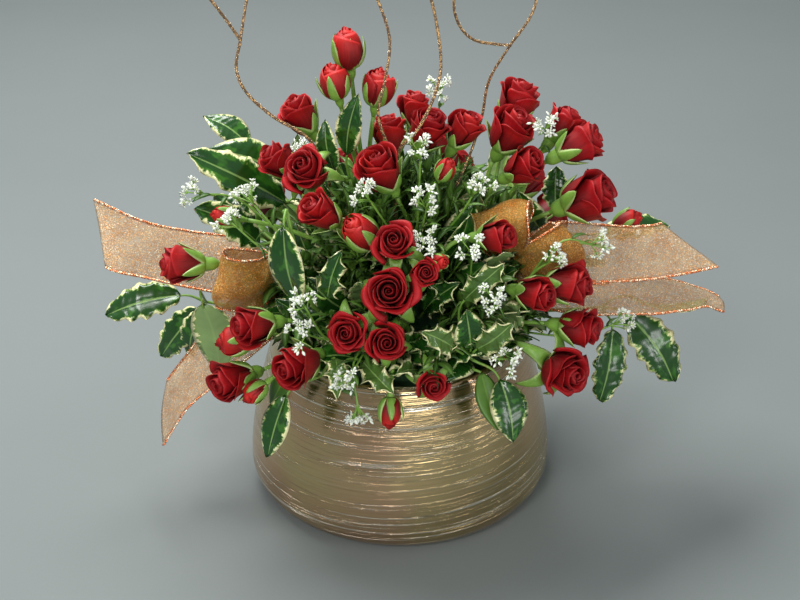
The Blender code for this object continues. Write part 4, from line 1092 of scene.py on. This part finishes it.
def make_ribbon(name, knot, lengths):
    """One bow: a single ribbon folded into loops and tails, tied round a pick in the foam."""
    rng = random.Random(name)
    knot = np.array(knot, float)
    cloth = Shape("ribbon")
    wires = Shape("stems", "wire")
    total = 0.0
    for slant, line in lengths:
        grid = ribbon_grid(line, knot, slant, rng)
        total += float(line_length(grid[:, RIBBON_COLUMNS // 2])[-1])
        across, along = places(*grid.shape[:2])
        looped = 0.0 if slant else 1.0
        paint = (across * 0.5 + 0.5, along * total / LOOK_LENGTH, looped, 0.5)
        blade(cloth, grid, RIBBON_THICKNESS, paint)
        wired_edge(wires, grid[:, 0])
        wired_edge(wires, grid[:, -1])
    towards = lifted(knot - STEM_CENTRE)
    pick = [from_centre(towards, STEM_START), from_centre(towards, FORK_REACH), knot]
    pick = smooth_route(pick, TWIG_STEPS)
    stalk(wires, pick, TWIG_RADIUS * 0.8, TWIG_RADIUS * 0.8, sides=8, flush=0.5)
    tie = TIE_RADIUS * spoke(frame_along(towards), np.linspace(0.0, FULL_TURN, TIE_POINTS))
    for index in range(TIES):
        centre = knot + towards * (index - (TIES - 1) / 2) * TIE_GAP
        pipe(wires, centre + tie, TIE_THICKNESS, sides=5, coat=1)
    ribbon = cloth.build("cloth_" + name, "ribbon", name)
    edges = wires.build("wires_" + name, "ribbon")


def make_twigs(name, routes):
    """Thin curly twigs with grains of glitter stuck all over them."""
    rng = random.Random(name)
    shape = Shape("twig", "glitter")
    for index, route in enumerate(routes):
        line = smooth_route(route, CURL_STEPS)
        start = CURL_RADIUS if index == 0 else CURL_RADIUS * SHOOT_THINNING
        radii = np.linspace(start, CURL_TIP_RADIUS, len(line))
        pipe(shape, line, radii * [rng.uniform(0.9, 1.12) for _ in line], sides=7)
        for first, second, radius in zip(line, line[1:], radii):
            for _ in range(GRAINS_PER_STEP):
                spot = first + (second - first) * rng.random()
                outward = spoke(frame_along(unit(second - first)), rng.uniform(0.0, FULL_TURN))
                grain(shape, spot + outward * radius, rng)
    shape.build("twigs_" + name, "curly_twigs", name)


def grain(shape, centre, rng):
    """An eight-sided grain of glitter, turned at random."""
    size = rng.uniform(0.22, 0.48)
    axis = unit(any_direction(rng))
    side, up = frame_along(axis)
    corners = np.array([side, up, -side, -up, axis * 0.5, -axis * 0.5])
    faces = []
    for index in range(4):
        after = (index + 1) % 4
        faces += [(index, after, 4), (after, index, 5)]
    shape.add(centre + corners * size, (rng.random(), 0.5, 0.5, 0.5), faces, 1)


def upright(name, kind, radii, heights, replaced):
    """A round piece that stands on its middle, from a grid of radii and a height for each ring."""
    turns = ring_turns(radii.shape[1])
    shape = Shape(kind)
    level = np.array((np.cos(turns), np.sin(turns), np.zeros_like(turns))).T
    rings(shape, laid(heights[:, None, None] * UP, (radii, level)))
    shape.build(name, kind, replaced)


def bowl_side(height):
    """The bowl's outer radius at a height above its belly."""
    rise = np.clip((height - BELLY_HEIGHT) / (BOWL_HEIGHT - BELLY_HEIGHT), 0.0, 1.0)
    return BELLY_RADIUS - (BELLY_RADIUS - RIM_RADIUS) * rise ** SHOULDER_POWER


def bowl_profile():
    """Radius and height up the bowl's outside, over its rim and down to its floor."""
    lip = WALL / 2.0
    profile = [(POLE_RADIUS, 0.0), (FOOT_RADIUS - 1.0, 0.0)]
    for step in range(1, FOOT_ROWS + 1):
        angle = math.pi / 2 * step / FOOT_ROWS
        radius = FOOT_RADIUS + (BELLY_RADIUS - FOOT_RADIUS) * math.sin(angle)
        profile.append((radius, BELLY_HEIGHT * (1.0 - math.cos(angle))))
    for step in range(1, SIDE_ROWS + 1):
        height = BELLY_HEIGHT + (BOWL_HEIGHT - lip - BELLY_HEIGHT) * step / SIDE_ROWS
        profile.append((bowl_side(height), height))
    for step in range(1, RIM_ROWS + 1):
        angle = math.pi * step / RIM_ROWS
        profile.append((RIM_RADIUS - lip + lip * math.cos(angle), BOWL_HEIGHT - lip + lip * math.sin(angle)))
    profile += [(bowl_side(height) - WALL, height) for height in INNER_HEIGHTS]
    return np.array(profile + [(FOOT_RADIUS, FLOOR), (POLE_RADIUS, FLOOR)])


def make_bowl():
    """The turned bowl, with fine level ridges on its outside."""
    rng = random.Random(BOWL_SEED)
    radii, heights = bowl_profile().T
    turns = ring_turns(BOWL_SIDES)
    ring = np.arange(len(radii))
    ridged = (ring >= RIDGES_FROM) & (ring <= FOOT_ROWS + SIDE_ROWS)
    ridges = np.array([rng.uniform(-1.0, 1.0) for _ in radii]) * ridged
    fading = [0.5 + 0.5 * np.sin(turns * rng.randint(1, 4) + rng.uniform(0.0, 6.3)) for _ in radii]
    radii = radii[:, None] + RIDGE_HEIGHT * ridges[:, None] * np.array(fading)
    upright("bowl_brushed", "bowl", radii, heights, "vase")


def make_foam():
    """The foam block with its crumbly cut surface."""
    rng = random.Random(FOAM_SEED)
    centre = STEM_CENTRE[2]
    foot = FLOOR + FOAM_LIFT
    profile = [(POLE_RADIUS, foot), (FOAM_BODY_RADIUS - FOAM_BEVEL[0], foot)]
    profile += [(FOAM_BODY_RADIUS, height) for height in (FLOOR + FOAM_BEVEL[1], *FOAM_HEIGHTS)]
    for turn in np.radians(FOAM_DOME_ANGLES):
        profile.append((FOAM_DOME_RADIUS * math.cos(turn), centre + FOAM_DOME_HEIGHT * math.sin(turn)))
    radii, heights = np.array(profile).T
    crumbs = np.array([[rng.uniform(-CRUMB, 0.0) for _ in range(FOAM_SIDES)] for _ in radii])
    radii = radii[:, None] + crumbs * (heights[:, None] > CRUMBS_FROM)
    upright("foam_block", "foam", radii, heights, "floral_foam")


class Value:
    """A number or colour that varies over a material. Numbers add and multiply like any other."""

    def __init__(self, look, socket):
        self.look = look
        self.socket = socket

    def math(self, operation, *others):
        return self.look.node("Math", self, *others, operation=operation)

    def __add__(self, other):
        return self.math("ADD", other)

    def __sub__(self, other):
        return self.math("SUBTRACT", other)

    def __mul__(self, other):
        return self.math("MULTIPLY", other)

    def step(self, low, high, bottom=0.0, top=1.0):
        """Bottom up to low, top from high, and smooth between them."""
        return self.look.node("MapRange", self, low, high, bottom, top, interpolation_type="SMOOTHSTEP")

    def mix(self, first, second):
        """The first colour where this is 0, and the second where it is 1."""
        return self.look.node("Mix", data_type="RGBA", output="Result", Factor=self, A=first, B=second)

    def parts(self):
        split = self.look.node("SeparateXYZ", self).socket.node
        return [Value(self.look, output) for output in split.outputs]


class Look:
    """A material, with short ways to add nodes to it. Places are the object's own, in metres."""

    def __init__(self, name, **values):
        self.material = bpy.data.materials.new(name)
        self.material.use_nodes = True
        self.shader = self.material.node_tree.nodes["Principled BSDF"]
        self.set(**values)

    def feed(self, socket, value):
        if isinstance(value, Value):
            self.material.node_tree.links.new(value.socket, socket)
        else:
            socket.default_value = (*value, 1.0) if isinstance(value, tuple) else value

    def set(self, **values):
        for label, value in values.items():
            self.feed(self.shader.inputs[label.replace("_", " ")], value)

    def node(self, kind, *values, output=0, **named):
        """A new node's output. Values feed its first sockets, and capitalised names feed their own."""
        made = self.material.node_tree.nodes.new("ShaderNode" + kind)
        for label, value in named.items():
            if label[0].isupper():
                self.feed(made.inputs[label], value)
            else:
                setattr(made, label, value)
        for socket, value in zip(made.inputs, values):
            self.feed(socket, value)
        return Value(self, made.outputs[output])

    def place(self):
        return self.node("TexCoord", output="Object")

    def noise(self, scale, detail=3.0, rough=0.55, at=()):
        at = self.node("CombineXYZ", *at) if at else self.place()
        return self.node("TexNoise", at, Scale=scale, Detail=detail, Roughness=rough)

    def cells(self, scale):
        """Three values that are random from cell to cell."""
        return self.node("TexVoronoi", self.place(), output="Color", Scale=scale).parts()

    def painted(self):
        """The four painted values."""
        first = self.node("Attribute", attribute_name="paint", output="Vector")
        return (*first.parts(), Value(self, first.socket.node.outputs["Alpha"]))

    def finished(self, colour, bump=(), **values):
        """The material, with its colour, its other values, and its bump's height, strength and depth."""
        self.set(Base_Color=colour, **values)
        if bump:
            height, strength, distance = bump
            self.set(Normal=self.node("Bump", Height=height, Strength=strength, Distance=distance))
        return self.material


def from_rib(across):
    """0 in the middle of a leaf and 1 at its edges."""
    return (across * 2.0 - 1.0).math("ABSOLUTE")


def petal_look():
    """Velvety crimson with fine veins, darker towards the heart and the foot as painted shade deep in the
    flower, and with a brighter lip as painted light.
    """
    look = Look(
        "petals_velvet", Roughness=0.55, Specular_IOR_Level=0.3, Sheen_Weight=0.06, Sheen_Roughness=0.4,
        Sheen_Tint=PETAL_SHEEN,
    )
    lip, depth, warmth, across = look.painted()
    veins = look.noise(1.0, 2.0, at=(across * 26.0, lip, warmth * 9.0))
    # Painted shade: the inner petals are a darker red, deep in the flower; buds are warmer in their own
    # colour
    red = (warmth.step(0.35, 1.0) * 0.75).mix(depth.mix(PETAL_SHADED_HEART, PETAL_OUTER), PETAL_BUD)
    # Painted light and shade along each petal: dark at the foot where shade falls, bright at the lip where
    # light falls, varied by the veins and random blotches
    light = lip.step(0.35, 1.0, 0.25, 1.0) + (veins - 0.5) * 0.5
    light = light * look.noise(160.0).step(0.25, 0.7, 0.72, 1.0)
    return look.finished(light.mix(PETAL_PAINTED_SHADE, red), (veins, 0.35, 0.0006))


def stem_look():
    """Waxy light green, paler at the sepals' edges and flushed on the stems."""
    look = Look("stem_green", Roughness=0.42)
    across, _, is_sepal, flush = look.painted()
    speckle = look.noise(260.0, 4.0)
    green = speckle.mix(STEM_DARK, STEM_LIGHT)
    green = (from_rib(across).step(0.6, 1.0) * is_sepal).mix(green, SEPAL_EDGE)
    green = (speckle.step(0.55, 0.75) * flush).mix(green, STEM_FLUSH)
    return look.finished(green, (speckle, 0.2, 0.0004))


def holly_look():
    """Glossy dark green with grey-green patches, a jagged cream margin and a pale rib."""
    look = Look("holly_variegated", Coat_Weight=0.25, Coat_Roughness=0.15)
    across, along, under, tone = look.painted()
    edge = from_rib(across)
    shift = tone * 37.0
    teeth = look.noise(1.3, 3.0, 0.6, at=(along * 13.0, across * 3.0, shift))
    patch = look.noise(1.0, 2.0, at=(along * 5.0, across * 3.0, shift))
    pale = tone.step(0.68, 0.76)
    reach = edge + (teeth - 0.5) + (patch - 0.5) * 0.5 + pale * 0.12
    green = patch.step(0.52, 0.62).mix(HOLLY_DARK, HOLLY_MIDDLE)
    green = (pale * 0.6).mix(green, HOLLY_GREY)
    green = edge.step(0.025, 0.075, 0.75, 0.0).mix(green, HOLLY_RIB)
    green = (under * 0.85).mix(green, HOLLY_UNDER)
    green = reach.step(0.76, 0.82).mix(green, HOLLY_BETWEEN)
    cream = look.noise(220.0).mix(HOLLY_CREAM, HOLLY_PALE)
    ribs = ((along * 9.0 + edge) * 6.3).math("SINE") * 0.3 + edge.step(0.0, 0.12)
    colour = reach.step(0.84, 0.90).mix(green, cream)
    return look.finished(colour, (ribs, 0.35, 0.0005), Roughness=under.step(0.2, 0.8, 0.24, 0.6))


def sprig_look():
    """Matt mid green that varies from leaf to leaf, with a pale rib."""
    look = Look("sprig_green", Roughness=0.4)
    across, _, _, tone = look.painted()
    speckle = look.noise(300.0)
    green = tone.mix(SPRIG_DARK, SPRIG_LIGHT)
    green = (from_rib(across).step(0.12, 0.0) * 0.5).mix(green, STEM_LIGHT)
    return look.finished((speckle * 0.5).mix(green, SPRIG_DARK), (speckle, 0.25, 0.0005))


def floret_look():
    """Matt white petals, greener in the throat."""
    look = Look("floret_white", Roughness=0.7)
    lip, middle, _, _ = look.painted()
    speckle = look.noise(900.0, 2.0)
    white = (speckle * 0.5).mix(FLORET_WHITE, FLORET_SHADE)
    white = lip.step(0.35, 0.0).mix(white, FLORET_THROAT)
    return look.finished((middle * 0.8).mix(white, FLORET_MIDDLE), (speckle, 0.2, 0.0002))


def ribbon_look():
    """Sheer woven mesh with bright metallic glitter threads."""
    look = Look("ribbon_organza", Roughness=0.35, Metallic=0.45)
    across, along, looped, _ = look.painted()
    weft = (across * (THREADS * 6.283)).math("SINE")
    warp = (along * (LOOK_LENGTH / RIBBON_WIDTH * THREADS * 6.283)).math("SINE")
    mesh = weft.math("MAXIMUM", warp)
    sparkle, glint, height = look.cells(1500.0)
    cloudy = look.noise(90.0).step(0.3, 0.7)
    loops = cloudy.mix(RIBBON_AMBER, RIBBON_GOLD)
    colour = looped.mix(cloudy.mix(RIBBON_DEEP, RIBBON_COPPER), loops)
    colour = sparkle.step(0.72, 0.9).mix(colour, looped.mix(RIBBON_SPARK, RIBBON_AMBER_SPARK))
    cover = mesh.step(0.0, 0.8, 0.22, 0.5) + looped * 0.06
    cover = cover.math("MAXIMUM", glint.step(0.6, 0.85, 0.0, 0.95))
    return look.finished(colour, (mesh + height * 2.0, 0.7, 0.0005), Alpha=cover)


def wire_look():
    """Bright copper with sparkling grains."""
    look = Look("ribbon_wire", Metallic=0.85)
    sparkle, gloss, height = look.cells(1100.0)
    colour = sparkle.step(0.5, 0.8).mix(WIRE_COPPER, RIBBON_SPARK)
    return look.finished(colour, (height, 0.5, 0.0004), Roughness=gloss.step(0.0, 1.0, 0.15, 0.45))


def twig_look():
    """Brown bark with gilt flecks."""
    look = Look("twig_bark", Roughness=0.6)
    streaks = look.noise(420.0, 5.0)
    gilt = look.cells(1400.0)[0].step(0.6, 0.75)
    colour = gilt.mix(streaks.mix(TWIG_DARK, TWIG_LIGHT), GLITTER_GOLD)
    return look.finished(colour, (streaks, 0.5, 0.0006), Metallic=gilt * 0.9)


def glitter_look():
    """Metallic grains, each from gold to nearly white."""
    look = Look("twig_glitter", Metallic=0.9, Roughness=0.22)
    tone = look.painted()[0] + look.noise(2500.0, 1.0) * 0.2
    return look.finished(tone.mix(GLITTER_GOLD, GLITTER_PALE))


def bowl_look():
    """Glossy champagne bronze, brushed with fine level hairs and sparse deeper scratches, with painted glints
    on the scratches.
    """
    look = Look("bowl_metal", Metallic=1.0)
    x, y, z = look.place().parts()
    level = z + x * -SCRATCH_SLANT
    grooves = look.noise(1.0, 3.0, 0.6, at=(x * 8.0, y * 8.0, level * 800.0))
    hairs = look.noise(1.0, 2.0, 0.6, at=(x * 20.0, y * 20.0, level * 1400.0))
    # A band at the rim, a band near the foot and random patches gather the deeper scratches and their painted
    # glints
    patches = look.noise(1.0, 2.0, at=(x * 9.0, y, level * 60.0)).step(0.50, 0.68)
    foot_scratch_and_glint_band = level.step(0.042, 0.030) * level.step(0.005, 0.012)
    scratch_and_glint_bands = level.step(0.080, 0.100).math("MAXIMUM", foot_scratch_and_glint_band).math("MAXIMUM", patches)
    scratch_and_glint = grooves.step(0.54, 0.62) * (scratch_and_glint_bands * 0.90 + 0.10)
    colour = look.noise(14.0, 2.0).step(0.35, 0.65).mix(BOWL_BRONZE, BOWL_GOLD)
    colour = (hairs.step(0.42, 0.3) * 0.35).mix(colour, BOWL_SCRATCH)
    # Painted glints: the deeper scratches are painted nearly white
    colour = (scratch_and_glint * 0.8).mix(colour, BOWL_PAINTED_GLINT)
    rough = hairs.step(0.3, 0.7, 0.24, 0.14)
    return look.finished(colour, (scratch_and_glint + hairs * 0.25, 0.9, 0.0005), Roughness=rough)


def foam_look():
    """Wet dark green foam with open cells."""
    look = Look("foam_wet", Roughness=0.95)
    cells = look.noise(700.0, 4.0, 0.7)
    return look.finished(cells.mix(FOAM_DARK, FOAM_LIGHT), (cells, 0.8, 0.001))


def floor_look():
    look = Look("floor_grey", Roughness=0.75)
    tone = look.noise(3.0, 4.0) * 0.5 + look.noise(900.0, 2.0) * 0.3
    return look.finished(tone.mix(FLOOR_DARK, FLOOR_LIGHT))


LOOKS = {
    "petals": petal_look, "stems": stem_look, "holly": holly_look, "sprig": sprig_look,
    "florets": floret_look, "ribbon": ribbon_look, "wire": wire_look, "twig": twig_look,
    "glitter": glitter_look, "bowl": bowl_look, "foam": foam_look,
}


@functools.cache
def material(kind):
    """The material of a kind, which is made when it is first needed."""
    return LOOKS[kind]()


def add_light(name, place, target, size, energy, colour):
    data = bpy.data.lights.new(name, "AREA")
    data.shape = "RECTANGLE"
    data.size, data.size_y = size
    data.energy = energy
    data.color = colour
    light = add_object(name, data)
    light.location = place
    aim = Vector(target) - Vector(place)
    light.rotation_euler = aim.to_track_quat("-Z", "Y").to_euler()


def make_floor():
    mesh = bpy.data.meshes.new("floor")
    half = FLOOR_HALF
    square = [(-half, -half, 0), (half, -half, 0), (half, half, 0), (-half, half, 0)]
    mesh.from_pydata(square, [], [(0, 1, 2, 3)])
    mesh.materials.append(floor_look())
    floor = add_object("floor", mesh)


def make_camera():
    data = bpy.data.cameras.new("camera")
    data.sensor_width = SENSOR_WIDTH
    data.lens = CAMERA_LENS
    camera = add_object("camera", data)
    camera.location = CAMERA_PLACE
    camera.rotation_euler = (math.radians(CAMERA_TILT), 0.0, 0.0)
    bpy.context.scene.camera = camera


def make_stage():
    """A plain pale floor, soft light from above and the camera."""
    make_floor()
    for light in LIGHTS:
        add_light(*light)
    world = bpy.data.worlds.new("studio")
    world.use_nodes = True
    background = world.node_tree.nodes["Background"].inputs
    background["Color"].default_value = (*SKY, 1.0)
    background["Strength"].default_value = SKY_STRENGTH
    bpy.context.scene.world = world
    make_camera()
    bpy.context.scene.view_settings.view_transform = "Standard"


def make_arrangement():
    """Every piece of the vase of roses, from the bowl to the curly twigs."""
    make_bowl()
    make_foam()
    for spray, groups in ROSES.items():
        rose_spray(spray, groups)
    for name, (route, *leaves) in HOLLY.items():
        holly_twig("holly_" + name, route, leaves)
    for name, (facing, *clusters) in FILLER.items():
        filler_spray("filler_" + name, facing, clusters)
    for name, (first, last) in GREENERY.items():
        make_greenery(name, first, last)
    for name, (knot, *lengths) in RIBBONS.items():
        make_ribbon("ribbon_" + name, knot, lengths)
    for name, routes in CURLY_TWIGS.items():
        make_twigs(name, routes)


def corners(bounds):
    return [list(corner) for corner in bounds]


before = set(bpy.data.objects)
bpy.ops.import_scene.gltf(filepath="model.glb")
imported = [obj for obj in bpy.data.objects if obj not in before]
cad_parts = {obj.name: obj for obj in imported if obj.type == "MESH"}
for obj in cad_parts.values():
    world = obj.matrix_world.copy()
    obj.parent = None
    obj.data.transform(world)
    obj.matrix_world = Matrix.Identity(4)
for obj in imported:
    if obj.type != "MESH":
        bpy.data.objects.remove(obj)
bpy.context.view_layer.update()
make_stage()
make_arrangement()
